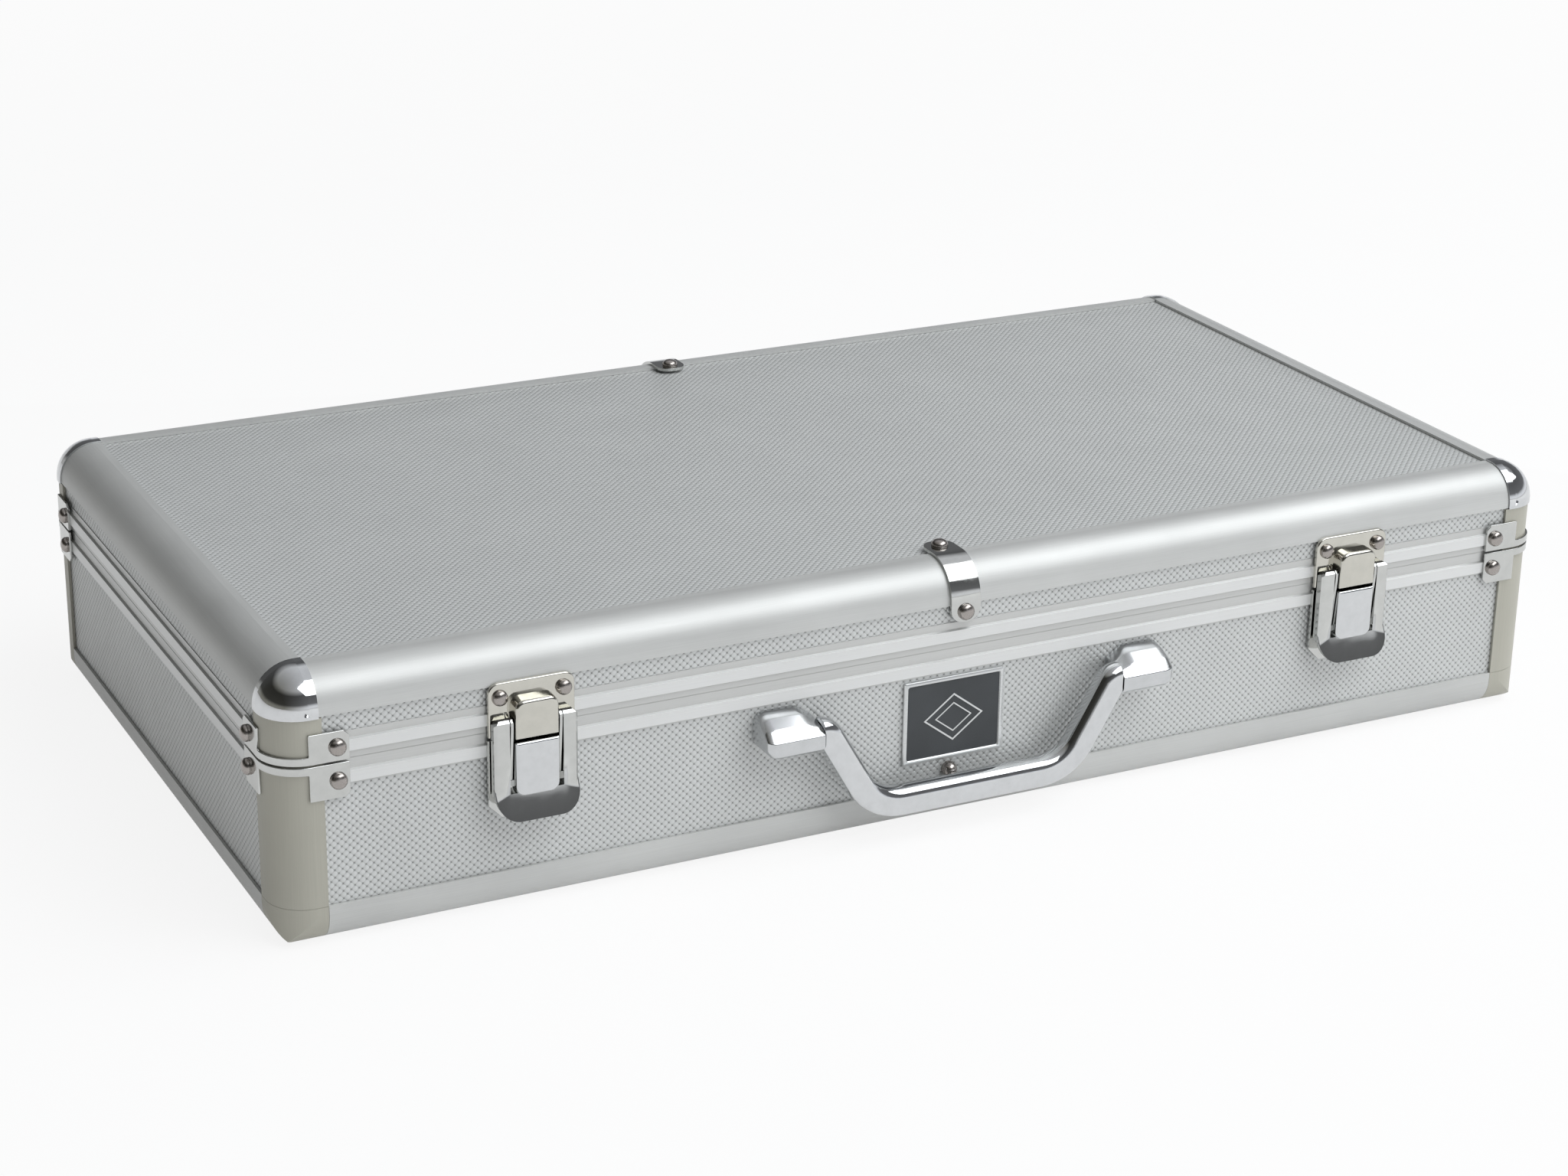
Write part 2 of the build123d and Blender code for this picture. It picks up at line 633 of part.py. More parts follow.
def latch_plate():
    """Plate on the base with two ears that carry the lever's pins."""
    low = LIFT_LOW_Z - LATCH_PLATE_EDGE
    plate = block(-LATCH_PLATE_W / 2, LATCH_PLATE_W / 2, low, LATCH_PLATE_TOP_Z, 0, LATCH_PLATE_T)
    plate = chamfer(edges_along(plate, Axis.Z, lambda p: near(p.Y, low)), LATCH_PLATE_CHAMFER)
    back = LATCH_PIVOT_OUT - EAR_R
    front = LATCH_PIVOT_OUT + EAR_R
    root_z = LATCH_PLATE_TOP_Z - EAR_GAP
    crown_z = LATCH_PIVOT_Z + EAR_R
    profile = make_face(Polyline(
        (front, LATCH_PIVOT_Z - EAR_R), (LATCH_PIVOT_OUT, EAR_LOW_Z), (LATCH_PLATE_T / 2, EAR_LOW_Z),
        (LATCH_PLATE_T / 2, root_z), (back, LATCH_PLATE_TOP_Z + EAR_GAP), (back, crown_z - EAR_CHAMFER),
        (back + EAR_CHAMFER, crown_z), (front - EAR_CHAMFER, crown_z), (front, crown_z - EAR_CHAMFER),
        close=True))
    ear = extrude(seen_from_side(profile), amount=EAR_T)
    ear = Pos(EAR_X, 0, 0) * ear
    for one in left_and_right(ear):
        plate += one
    return plate - latch_pin_hole(LATCH_PLATE_W)


def latch_pins():
    """Two stub pins, each through an ear and into a rail of the lever."""
    length = RAIL_INNER_X - EAR_X + (LEVER_W / 2 - RAIL_INNER_X) * 0.75
    pin = rod(LATCH_PIN_R, length)
    return left_and_right(Pos(EAR_X + length / 2, LATCH_PIVOT_Z, LATCH_PIVOT_OUT) * pin)


def lever_side_profile():
    """The lever seen from the side, in (outward, up): rail, then the flared finger lift."""
    back = RAIL_BACK_OUT
    front = back + RAIL_T
    crown_z = LATCH_PIVOT_Z + RAIL_T / 2
    lift_out = front + LIFT_FLARE
    return make_face(Polyline(
        (front, crown_z - RAIL_CHAMFER), (front - RAIL_CHAMFER, crown_z), (back + RAIL_CHAMFER, crown_z),
        (back, crown_z - RAIL_CHAMFER), (back, LIFT_TOP_Z - WEB_T),
        (front - LIFT_SHEET, LIFT_TOP_Z - WEB_T), (lift_out - LIFT_SHEET, LIFT_LOW_Z),
        (lift_out, LIFT_LOW_Z), (front, LIFT_TOP_Z), close=True))


def latch_lever():
    """U-shaped lever: two rails either side of the tongue, joined by the finger lift."""
    lever = extrude(seen_from_side(lever_side_profile()), amount=LEVER_W / 2, both=True)
    crown_z = LATCH_PIVOT_Z + RAIL_T / 2
    outline = block(-LEVER_W / 2, LEVER_W / 2, LIFT_LOW_Z, crown_z, 0, 20)
    outline = fillet(edges_along(outline, Axis.Z, lambda p: near(p.Y, LIFT_LOW_Z)), LIFT_ROUND)
    outline = chamfer(edges_along(outline, Axis.Z, lambda p: near(p.Y, crown_z)), RAIL_TOP_CHAMFER)
    lever &= outline
    edge_out = RAIL_BACK_OUT + RAIL_T
    rail_edges = edges_along(lever, Axis.Y, lambda p: near(p.Z, edge_out) and near(abs(p.X), LEVER_W / 2))
    lever = chamfer(rail_edges, RAIL_CHAMFER)
    window = block(-RAIL_INNER_X, RAIL_INNER_X, LIFT_TOP_Z, crown_z + 1, 0, 20)
    web = block(-RAIL_INNER_X, RAIL_INNER_X, LIFT_TOP_Z - WEB_T, LIFT_TOP_Z + WEB_H - WEB_T,
                RAIL_BACK_OUT, RAIL_BACK_OUT + WEB_T)
    lever = lever - window + web
    pin_reach = 2 * (RAIL_INNER_X + (LEVER_W / 2 - RAIL_INNER_X) * 0.8)
    return lever - latch_pin_hole(pin_reach)


def latch_hook():
    """Plate carried by the lever's web; its beaded edge faces the keeper's tongue."""
    low = LIFT_TOP_Z + HOOK_GAP
    out = RAIL_BACK_OUT + WEB_T
    plate = upright_plate(HOOK_W, low, HOOK_TOP_Z, out, HOOK_T, "low", HOOK_ROUND)
    plate = chamfer(plate.faces().sort_by(Axis.Z)[-1].edges(), PLATE_SOFT_EDGE)
    bead = rod(BEAD_R, HOOK_W - 4 * PLATE_SOFT_EDGE)
    return plate + Pos(0, HOOK_TOP_Z - BEAD_DOWN, out + HOOK_T) * bead


def at_latches(piece):
    """A latch piece in its place at the left and at the right."""
    return [on_front(x, 0, 0) * piece for x in (-LATCH_X, LATCH_X)]


def handle_block():
    """Mounting block with its nose and ends eased, at the right-hand end of the bail."""
    root = -LEG_T
    edge_out = BLOCK_OUT - BLOCK_BEVEL
    edge_z = HANDLE_PIVOT_Z + BLOCK_FLAT_UP + BLOCK_BEVEL
    low = BLOCK_LOW_CHAMFER
    section = make_face(Polyline(
        (root, BLOCK_TOP_Z), (edge_out - BLOCK_SHOULDER, edge_z + BLOCK_SHOULDER_FALL),
        (edge_out, edge_z), (BLOCK_OUT, HANDLE_PIVOT_Z + BLOCK_FLAT_UP), (BLOCK_OUT, BLOCK_LOW_Z + low),
        (BLOCK_OUT - low, BLOCK_LOW_Z), (root, BLOCK_LOW_Z), close=True))
    body = run(section, BLOCK_LENGTH, FRONT)
    body = Pos(BLOCK_INNER_X + BLOCK_LENGTH / 2, 0, 0) * body
    end = body.faces().sort_by(Axis.X)[-1]
    rounded = ShapeList(e for e in end.edges() if (e @ 0.5).Y < -HALF_DEPTH - root - 0.1)
    body = chamfer(rounded, BLOCK_END_CHAMFER)
    corner = make_face(Polyline(
        (BLOCK_INNER_X, BLOCK_TOP_Z - BLOCK_CUT_H), (BLOCK_INNER_X + BLOCK_CUT_L, BLOCK_TOP_Z),
        (BLOCK_INNER_X, BLOCK_TOP_Z), close=True))
    body -= extrude(Plane.XZ * corner, amount=2 * HALF_DEPTH)
    return body - handle_pin(PIN_PLAY)


def handle_pin(grow=0.0):
    """Pin from the block into the bail, at the right-hand end."""
    start = BLOCK_INNER_X - HANDLE_PIN_IN_BAIL - grow
    end = BLOCK_INNER_X + HANDLE_PIN_IN_BLOCK + grow
    return Pos((start + end) / 2, HANDLE_Y, HANDLE_PIVOT_Z) * rod(HANDLE_PIN_R, end - start, grow)


def handle_bail():
    """One bar with broad chamfers, bent tightly at each knee and widely at the grip."""
    end_x = BLOCK_INNER_X - BAIL_PLAY
    knee_x = end_x - BAIL_STUB
    knee = Vector(-knee_x, HANDLE_Y, HANDLE_PIVOT_Z)
    corner = Vector(-BAIL_GRIP_X, HANDLE_Y, BAIL_GRIP_Z)
    arm = (knee + corner) / 2
    upper = FilletPolyline((-end_x, HANDLE_Y, HANDLE_PIVOT_Z), knee, arm, radius=BAIL_KNEE_R)
    lower = FilletPolyline(arm, corner, (0, HANDLE_Y, BAIL_GRIP_Z), radius=BAIL_BEND_R)
    half = upper.edges() + lower.edges()
    path = Wire(half + mirror(Curve() + half, about=Plane.YZ).edges())
    start = Plane((-end_x, HANDLE_Y, HANDLE_PIVOT_Z), x_dir=(0, 1, 0), z_dir=(1, 0, 0))
    bar = Rectangle(BAIL_DEPTH, BAIL_WIDTH)
    bail = sweep(start * chamfer(bar.vertices(), BAIL_CHAMFER), path=path)
    for hole in left_and_right(handle_pin(PIN_PLAY)):
        bail -= hole
    return bail


def badge_plate():
    """Plain plate with a raised border round a sunk field."""
    plate = Box(BADGE_W, BADGE_H, BADGE_T, align=(Align.CENTER, Align.CENTER, Align.MIN))
    field = Box(BADGE_W - 2 * BADGE_BORDER, BADGE_H - 2 * BADGE_BORDER, BADGE_T)
    field = Pos(0, 0, BADGE_T + BADGE_T / 2 - BADGE_FIELD_DEPTH) * field
    return on_front(BADGE_X, -LEG_T, BADGE_Z) * (plate - field)


def handle_bumper():
    """Stop that the hanging bail comes to rest against."""
    height = HANDLE_PIVOT_OUT - BAIL_DEPTH / 2 + LEG_T - BUMPER_GAP
    return on_front(BUMPER_X, -LEG_T, BUMPER_Z) * stud(BUMPER_R, height)


def hinge_barrel(x0, x1, radius, grow=0.0):
    middle = Pos((x0 + x1) / 2, HALF_DEPTH + HINGE_AXIS_OUT, SEAM_Z)
    return middle * rod(radius, x1 - x0, grow)


def hinge_spans():
    """X ranges of the base's two knuckles and of the lid's one between them."""
    half = HINGE_W / 2
    middle = KNUCKLE_MID_W / 2
    ends = middle + KNUCKLE_END_GAP
    return [(-half, -ends), (ends, half)], [(-middle, middle)]


def hinge_leaf(own, other, direction):
    """Leaf with its own knuckles, cut back round the other leaf's knuckles."""
    low, high = sorted((SEAM_Z, SEAM_Z + direction * HINGE_LEAF_H))
    face_y = HALF_DEPTH
    leaf = block(-HINGE_W / 2, HINGE_W / 2, face_y, face_y + HINGE_LEAF_T, low, high)
    far_z = SEAM_Z + direction * HINGE_LEAF_H
    leaf = chamfer(edges_along(leaf, Axis.Y, lambda p: near(p.Z, far_z)), TAB_CHAMFER)
    web_low, web_high = sorted((SEAM_Z, SEAM_Z + direction * KNUCKLE_R))
    clear_low = SEAM_Z - KNUCKLE_R - KNUCKLE_END_GAP
    clear_high = SEAM_Z + KNUCKLE_R + KNUCKLE_END_GAP
    for x0, x1 in own:
        leaf += hinge_barrel(x0, x1, KNUCKLE_R)
        leaf += block(x0, x1, face_y, face_y + HINGE_AXIS_OUT, web_low, web_high)
    for x0, x1 in other:
        leaf -= block(x0 - KNUCKLE_END_GAP, x1 + KNUCKLE_END_GAP, face_y, face_y + 2 * KNUCKLE_R,
                      clear_low, clear_high)
    return leaf - hinge_barrel(-HINGE_W, HINGE_W, HINGE_PIN_R, PIN_PLAY)


def hinge_pin():
    return hinge_barrel(-HINGE_W / 2, HINGE_W / 2, HINGE_PIN_R)


def hinge_rivets(direction):
    z = SEAM_Z + direction * HINGE_RIVET_UP
    head = stud(HINGE_RIVET_R, HINGE_RIVET_H)
    return left_and_right(on_back(HINGE_RIVET_X, HINGE_LEAF_T, z) * head)


def at_hinges(pieces):
    return [Pos(x, 0, 0) * piece for x in (-HINGE_X, HINGE_X) for piece in pieces]


def back_feet():
    """Tapered feet that the case stands on when it is carried upright."""
    foot = stud(FOOT_R, FOOT_H, FOOT_TIP_SHARE)
    heights = (FOOT_MIDDLE_Z - FOOT_SPREAD, FOOT_MIDDLE_Z + FOOT_SPREAD)
    return [on_back(x, -LEG_T, z) * foot for x in (-FOOT_X, FOOT_X) for z in heights]


def foam_insert():
    """Foam block with one long pocket for the racks, one for the trays and one for small pieces."""
    foam = block(-FOAM_HALF_X, FOAM_HALF_X, -FOAM_HALF_Y, FOAM_HALF_Y, FLOOR_Z, FOAM_TOP_Z)
    over = FOAM_TOP_Z + 1
    rack_x = RACK_LENGTH / 2 + POCKET_PLAY
    rack_y = RACK_BAY_D / 2 + POCKET_PLAY
    foam -= block(-rack_x, rack_x, RACK_BAY_Y - rack_y, RACK_BAY_Y + rack_y,
                  RACK_LOW_Z - POCKET_PLAY, over)
    tray_y = TRAY_D / 2 + POCKET_PLAY
    foam -= block(TRAY_ROW_X, TRAY_ROW_END_X, TRAY_BAY_Y - tray_y, TRAY_BAY_Y + tray_y,
                  TRAY_LOW_Z - POCKET_PLAY, over)
    foam -= block(PARTS_BAY_X0, PARTS_BAY_X1, TRAY_BAY_Y - tray_y, TRAY_BAY_Y + tray_y,
                  PARTS_LOW_Z - POCKET_PLAY, over)
    for side in (-1, 1):
        notch = block(-NOTCH_REACH, NOTCH_REACH, -NOTCH_HALF_W, NOTCH_HALF_W, -RACK_H, 1)
        foam -= Pos(side * rack_x, RACK_BAY_Y, FOAM_TOP_Z) * notch
    return foam


def lid_pad():
    """Foam pad under the top panel that keeps the pieces in their places."""
    half_x = FOAM_HALF_X - PAD_EDGE_GAP
    half_y = FOAM_HALF_Y - PAD_EDGE_GAP
    pad = block(-half_x, half_x, -half_y, half_y, PAD_LOW_Z, CASE_HEIGHT - WALL - FOAM_FLOOR_GAP)
    return chamfer(pad.edges().filter_by(Axis.Z), PAD_CHAMFER)


def tray_x(index):
    return TRAY_ROW_X + (index + 0.5) * TRAY_PITCH


def open_tray(width, depth, height, wall):
    """Thin-walled tray standing on the XY plane."""
    tray = Box(width, depth, height, align=(Align.CENTER, Align.CENTER, Align.MIN))
    tray = chamfer(tray.edges().filter_by(Axis.Z), TRAY_CHAMFER)
    inside = Box(width - 2 * wall, depth - 2 * wall, height,
                 align=(Align.CENTER, Align.CENTER, Align.MIN))
    return tray - Pos(0, 0, wall) * inside


def tile_tray():
    """Tray for two layers of tiles, with finger notches in its front and back walls."""
    tray = open_tray(TRAY_W, TRAY_D, TRAY_H, TRAY_WALL)
    shape = make_face(Polyline(
        (-TRAY_NOTCH_TOP_W / 2, TRAY_H), (-TRAY_NOTCH_LOW_W / 2, TRAY_H - TRAY_NOTCH_DEPTH),
        (TRAY_NOTCH_LOW_W / 2, TRAY_H - TRAY_NOTCH_DEPTH), (TRAY_NOTCH_TOP_W / 2, TRAY_H), close=True))
    return tray - extrude(Plane.XZ * shape, amount=TRAY_D, both=True)


def tray_of_tiles(index):
    """The tiles that fill one tray, in rows and layers."""
    pitch_x = TILE_W + TILE_PLAY
    pitch_y = TILE_L + TILE_PLAY
    one = Box(TILE_W, TILE_L, TILE_T, align=(Align.CENTER, Align.CENTER, Align.MIN))
    tiles = []
    for layer in range(TILE_LAYERS):
        for row in range(TILES_ALONG):
            for column in range(TILES_ACROSS):
                x = tray_x(index) + (column - (TILES_ACROSS - 1) / 2) * pitch_x
                y = TRAY_BAY_Y + (row - (TILES_ALONG - 1) / 2) * pitch_y
                z = TRAY_LOW_Z + TRAY_WALL + layer * TILE_T
                tiles.append(Pos(x, y, z) * one)
    return tiles


def rack_section():
    """Rack seen from its end: leaning back, tile ledge, front channel and lip."""
    half = RACK_W / 2
    fin = -half + RACK_LIP_W
    ledge = fin + RACK_FIN_T + RACK_FIN_LEAN
    return make_face(Polyline(
        (-half, 0), (half, 0), (half, RACK_LIP_H), (half - RACK_LIP_W, RACK_LIP_H),
        (half - RACK_LIP_W, RACK_BASE_T), (ledge + RACK_LEDGE_W, RACK_BASE_T),
        (ledge + RACK_LEDGE_W, RACK_LEDGE_T), (ledge, RACK_LEDGE_T),
        (fin + RACK_FIN_T / 2, RACK_H), (fin, RACK_H), (-half, RACK_BASE_T), close=True))


def rack_places():
    """Middle and underside of each rack, as (y, z)."""
    pitch = (RACK_W + RACK_PLAY) / 2
    layers = (RACK_LOW_Z, RACK_LOW_Z + RACK_H + RACK_PLAY)
    return [(RACK_BAY_Y + side * pitch, z) for z in layers for side in (-1, 1)]


def racks():
    bar = extrude(Plane.YZ * rack_section(), amount=RACK_LENGTH / 2, both=True)
    turned = Rot(0, 0, 180) * bar
    return [Pos(0, y, z) * turned for y, z in rack_places()]


def pushers():
    """Bar with an upright end, lying in each rack's front channel."""
    bar = Box(PUSHER_LENGTH, PUSHER_W, PUSHER_H, align=(Align.CENTER, Align.CENTER, Align.MIN))
    knob = Box(PUSHER_H, PUSHER_W, PUSHER_ARM, align=(Align.CENTER, Align.CENTER, Align.MIN))
    bar += Pos((PUSHER_LENGTH - PUSHER_H) / 2, 0, 0) * knob
    channel = -(RACK_W / 2 - RACK_LIP_W - PUSHER_W / 2 - RACK_PLAY)
    return [Pos(0, y + channel, z + RACK_BASE_T) * bar for y, z in rack_places()]


def parts_tray():
    """Narrow tray with three compartments."""
    tray = open_tray(PARTS_TRAY_W, TRAY_D, PARTS_TRAY_H, TRAY_WALL)
    for y in parts_dividers():
        wall = Box(PARTS_TRAY_W - 2 * TRAY_WALL, PARTS_TRAY_DIVIDER, PARTS_TRAY_H - TRAY_WALL - 4,
                   align=(Align.CENTER, Align.CENTER, Align.MIN))
        tray += Pos(0, y, TRAY_WALL) * wall
    return Pos(PARTS_TRAY_X, TRAY_BAY_Y, PARTS_LOW_Z) * tray


def parts_dividers():
    """Places of the two walls across the narrow tray."""
    first = -TRAY_D / 2 + TRAY_WALL + STICK_BAY_D + PARTS_TRAY_DIVIDER / 2
    second = first + DICE_BAY_D + PARTS_TRAY_DIVIDER
    return first, second


def dice():
    one = Box(DIE_SIZE, DIE_SIZE, DIE_SIZE, align=(Align.CENTER, Align.CENTER, Align.MIN))
    one = chamfer(one.edges(), DIE_ROUND)
    first, second = parts_dividers()
    middle = TRAY_BAY_Y + (first + second) / 2
    pitch = (DIE_SIZE + TILE_PLAY) / 2
    floor = PARTS_LOW_Z + TRAY_WALL
    return [Pos(PARTS_TRAY_X + i * pitch, middle + j * pitch, floor) * one
            for i in (-1, 1) for j in (-1, 1)]


def wind_marker():
    """Eight-sided marker with a sunk face, which shows the round's wind."""
    first, second = parts_dividers()
    middle = TRAY_BAY_Y + (second + TRAY_D / 2 - TRAY_WALL) / 2
    marker = extrude(RegularPolygon(WIND_R, 8), amount=WIND_H)
    marker = chamfer(marker.faces().sort_by(Axis.Z)[-1].edges(), WIND_SINK)
    marker -= Pos(0, 0, WIND_H - WIND_SINK) * extrude(RegularPolygon(WIND_R - WIND_RIM, 8), amount=WIND_SINK)
    return Pos(PARTS_TRAY_X, middle, PARTS_LOW_Z + TRAY_WALL) * Rot(0, 0, 22.5) * marker


def counting_sticks():
    one = Box(STICK_W, STICK_L, STICK_T, align=(Align.CENTER, Align.CENTER, Align.MIN))
    middle = TRAY_BAY_Y - TRAY_D / 2 + TRAY_WALL + TILE_PLAY + STICK_L / 2
    floor = PARTS_LOW_Z + TRAY_WALL
    sticks = []
    for layer in range(STICK_LAYERS):
        for column in range(STICKS_ACROSS):
            x = PARTS_TRAY_X + (column - (STICKS_ACROSS - 1) / 2) * (STICK_W + TILE_PLAY)
            sticks.append(Pos(x, middle, floor + layer * STICK_T) * one)
    return sticks


def base_nodes():
    levels = (BOTTOM_LEG_UP, BASE_RIM_Z)
    rear, fore = hinge_spans()
    return {
        "bottom_panel": [panel("bottom")],
        "base_front_panel": [panel("base_front")],
        "base_back_panel": [panel("base_back")],
        "base_side_panels": [panel("base_left"), panel("base_right")],
        "bottom_edge_front": [bottom_edge(FRONT)],
        "bottom_edge_back": [bottom_edge(BACK)],
        "bottom_edge_sides": [bottom_edge(LEFT), bottom_edge(RIGHT)],
        "base_corner_posts": four_corners(corner_post(*levels, "base")),
        "bottom_corner_caps": four_corners(bottom_cap()),
        "base_frame_front": [base_frame(FRONT)],
        "base_frame_back": [base_frame(BACK)],
        "base_frame_sides": [base_frame(LEFT), base_frame(RIGHT)],
        "base_corner_clamps": four_corners(corner_clamp(SEAM_Z - CLAMP_SEAM, BASE_TAB_H, -1)),
        "base_rivets": clamp_rivets(SEAM_Z - CLAMP_SEAM - BASE_TAB_RIVET_DOWN)
        + at_hinges(hinge_rivets(-1)),
        "latch_base_plates": at_latches(latch_plate()),
        "latch_pins": [on_front(x, 0, 0) * p for x in (-LATCH_X, LATCH_X) for p in latch_pins()],
        "handle_blocks": left_and_right(handle_block()),
        "handle_pins": left_and_right(handle_pin()),
        "handle_bumper": [handle_bumper()],
        "badge_plate": [badge_plate()],
        "hinge_lower_leaves": at_hinges([hinge_leaf(rear, fore, -1)]),
        "hinge_pins": at_hinges([hinge_pin()]),
        "back_feet": back_feet(),
    }


def content_nodes():
    nodes = {
        "foam_insert": [foam_insert()],
        "tile_trays": [Pos(tray_x(i), TRAY_BAY_Y, TRAY_LOW_Z) * tile_tray() for i in range(TRAY_COUNT)],
        "racks": racks(),
        "rack_pushers": pushers(),
        "accessory_tray": [parts_tray()],
        "dice": dice(),
        "wind_marker": [wind_marker()],
        "counting_sticks": counting_sticks(),
    }
    for index in range(TRAY_COUNT):
        nodes[f"tiles_{index + 1}"] = tray_of_tiles(index)
    return nodes


def lid_nodes():
    levels = (LID_RIM_Z, CASE_HEIGHT - BALL_HEIGHT)
    rear, fore = hinge_spans()
    keeper_head = stud(KEEPER_RIVET_R, RIVET_H)
    keeper_rivets = [on_front(x + dx, KEEPER_T, KEEPER_RIVET_Z) * keeper_head
                     for x in (-LATCH_X, LATCH_X) for dx in (-KEEPER_RIVET_X, KEEPER_RIVET_X)]
    return {
        "top_panel": [panel("top")],
        "lid_front_panel": [panel("lid_front")],
        "lid_back_panel": [panel("lid_back")],
        "lid_side_panels": [panel("lid_left"), panel("lid_right")],
        "top_edge_front": [top_edge(FRONT)],
        "top_edge_back": [top_edge(BACK)],
        "top_edge_sides": [top_edge(LEFT), top_edge(RIGHT)],
        "ball_corners": four_corners(ball_corner()),
        "lid_corner_posts": four_corners(corner_post(*levels, "lid")),
        "lid_frame_front": [lid_frame(FRONT)],
        "lid_frame_back": [lid_frame(BACK)],
        "lid_frame_sides": [lid_frame(LEFT), lid_frame(RIGHT)],
        "lid_corner_clamps": four_corners(corner_clamp(SEAM_Z + CLAMP_SEAM, LID_TAB_H, 1)),
        "lid_rivets": clamp_rivets(SEAM_Z + CLAMP_SEAM + LID_TAB_RIVET_UP) + strap_rivets()
        + keeper_rivets + at_hinges(hinge_rivets(1)),
        "top_straps": front_and_back(strap()),
        "latch_keepers": at_latches(latch_keeper()),
        "hinge_upper_leaves": at_hinges([hinge_leaf(fore, rear, 1)]),
        "lid_pad": [lid_pad()],
    }


def moving_nodes():
    left_lever, right_lever = at_latches(latch_lever())
    left_hook, right_hook = at_latches(latch_hook())
    return {
        "handle_bail": [handle_bail()],
        "left_latch_lever": [left_lever],
        "right_latch_lever": [right_lever],
        "left_latch_hook": [left_hook],
        "right_latch_hook": [right_hook],
    }


def write_nodes(nodes):
    os.makedirs("parts", exist_ok=True)
    for name, pieces in nodes.items():
        solids = []
        for piece in pieces:
            solids += piece.solids()
        shape = solids[0] if len(solids) == 1 else Compound(solids)
        export_step(shape, f"parts/{name}.step")


write_nodes(base_nodes())
write_nodes(content_nodes())
write_nodes(lid_nodes())
write_nodes(moving_nodes())
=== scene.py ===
"""Looks of the aluminium tile-game case: materials, rounded pieces, floor, light and camera.

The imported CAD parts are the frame. Lengths are in millimetres until a mesh is made, apart
from those of the camera, lamps and floor, which are in metres. The case's front faces -y.
"""

import math
import random

import bmesh
import bpy
from mathutils import Matrix, Vector, noise


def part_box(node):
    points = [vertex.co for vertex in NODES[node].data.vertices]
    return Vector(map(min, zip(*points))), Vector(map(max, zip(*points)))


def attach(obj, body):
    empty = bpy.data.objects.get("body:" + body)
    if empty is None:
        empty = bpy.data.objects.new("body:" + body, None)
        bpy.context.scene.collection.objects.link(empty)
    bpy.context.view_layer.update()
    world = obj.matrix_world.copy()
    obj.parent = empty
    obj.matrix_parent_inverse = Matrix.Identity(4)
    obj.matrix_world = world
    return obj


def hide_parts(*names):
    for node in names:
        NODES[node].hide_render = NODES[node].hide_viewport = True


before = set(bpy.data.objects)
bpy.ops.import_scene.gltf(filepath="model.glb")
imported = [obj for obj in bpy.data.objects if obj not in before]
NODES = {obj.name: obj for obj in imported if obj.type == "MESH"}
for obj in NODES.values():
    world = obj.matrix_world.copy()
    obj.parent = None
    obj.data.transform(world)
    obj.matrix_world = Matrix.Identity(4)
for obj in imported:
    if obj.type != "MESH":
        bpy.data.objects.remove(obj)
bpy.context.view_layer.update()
MM = 0.001  # a millimetre in metres
WELD_GAP = 1e-6  # metres between points that are one point
CASE_HALF = (265.0, 139.5)  # half of the case's length and depth

# --- camera, worked out from the photograph's perspective ---
CAMERA_AT = Vector((-0.56483, -1.11072, 0.53417))
CAMERA_AIM = Vector((0.04555, 0.09758, 0.0))
CAMERA_ROLL = 0.01595  # radians
CAMERA_LENS = 75.73  # millimetres, as the sensor's width is
CAMERA_SENSOR = 36.0
CAMERA_CLIP = (0.01, 100.0)


def add_object(name, data):
    """A new object in the scene."""
    made = bpy.data.objects.new(name, data)
    bpy.context.scene.collection.objects.link(made)
    return made


def make_camera():
    """The camera that the photograph was taken with."""
    data = bpy.data.cameras.new("photo_camera")
    data.sensor_width = CAMERA_SENSOR
    data.lens = CAMERA_LENS
    data.clip_start, data.clip_end = CAMERA_CLIP
    camera = add_object("photo_camera", data)
    forward = (CAMERA_AIM - CAMERA_AT).normalized()
    level = forward.cross(Vector((0, 0, 1))).normalized()
    upright = level.cross(forward)
    right = math.cos(CAMERA_ROLL) * level + math.sin(CAMERA_ROLL) * upright
    top = right.cross(forward)
    turn = Matrix((right, top, -forward)).transposed().to_4x4()
    camera.matrix_world = Matrix.Translation(CAMERA_AT) @ turn
    bpy.context.scene.camera = camera


def make_lamp(name, at, aim, size, power, colour, in_gloss):
    """A rectangular lamp that the camera doesn't see."""
    data = bpy.data.lights.new(name, "AREA")
    data.shape = "RECTANGLE"
    data.size, data.size_y = size
    data.energy = power
    data.color = colour
    lamp = add_object(name, data)
    lamp.location = at
    lamp.rotation_mode = "QUATERNION"
    lamp.rotation_quaternion = (Vector(aim) - Vector(at)).to_track_quat("-Z", "Y")
    lamp.visible_camera = False
    lamp.visible_glossy = in_gloss


# --- node trees ---
MIX_SHARE, MIX_A, MIX_B, MIX_RESULT = 0, 6, 7, 2  # the Mix node's sockets for colours


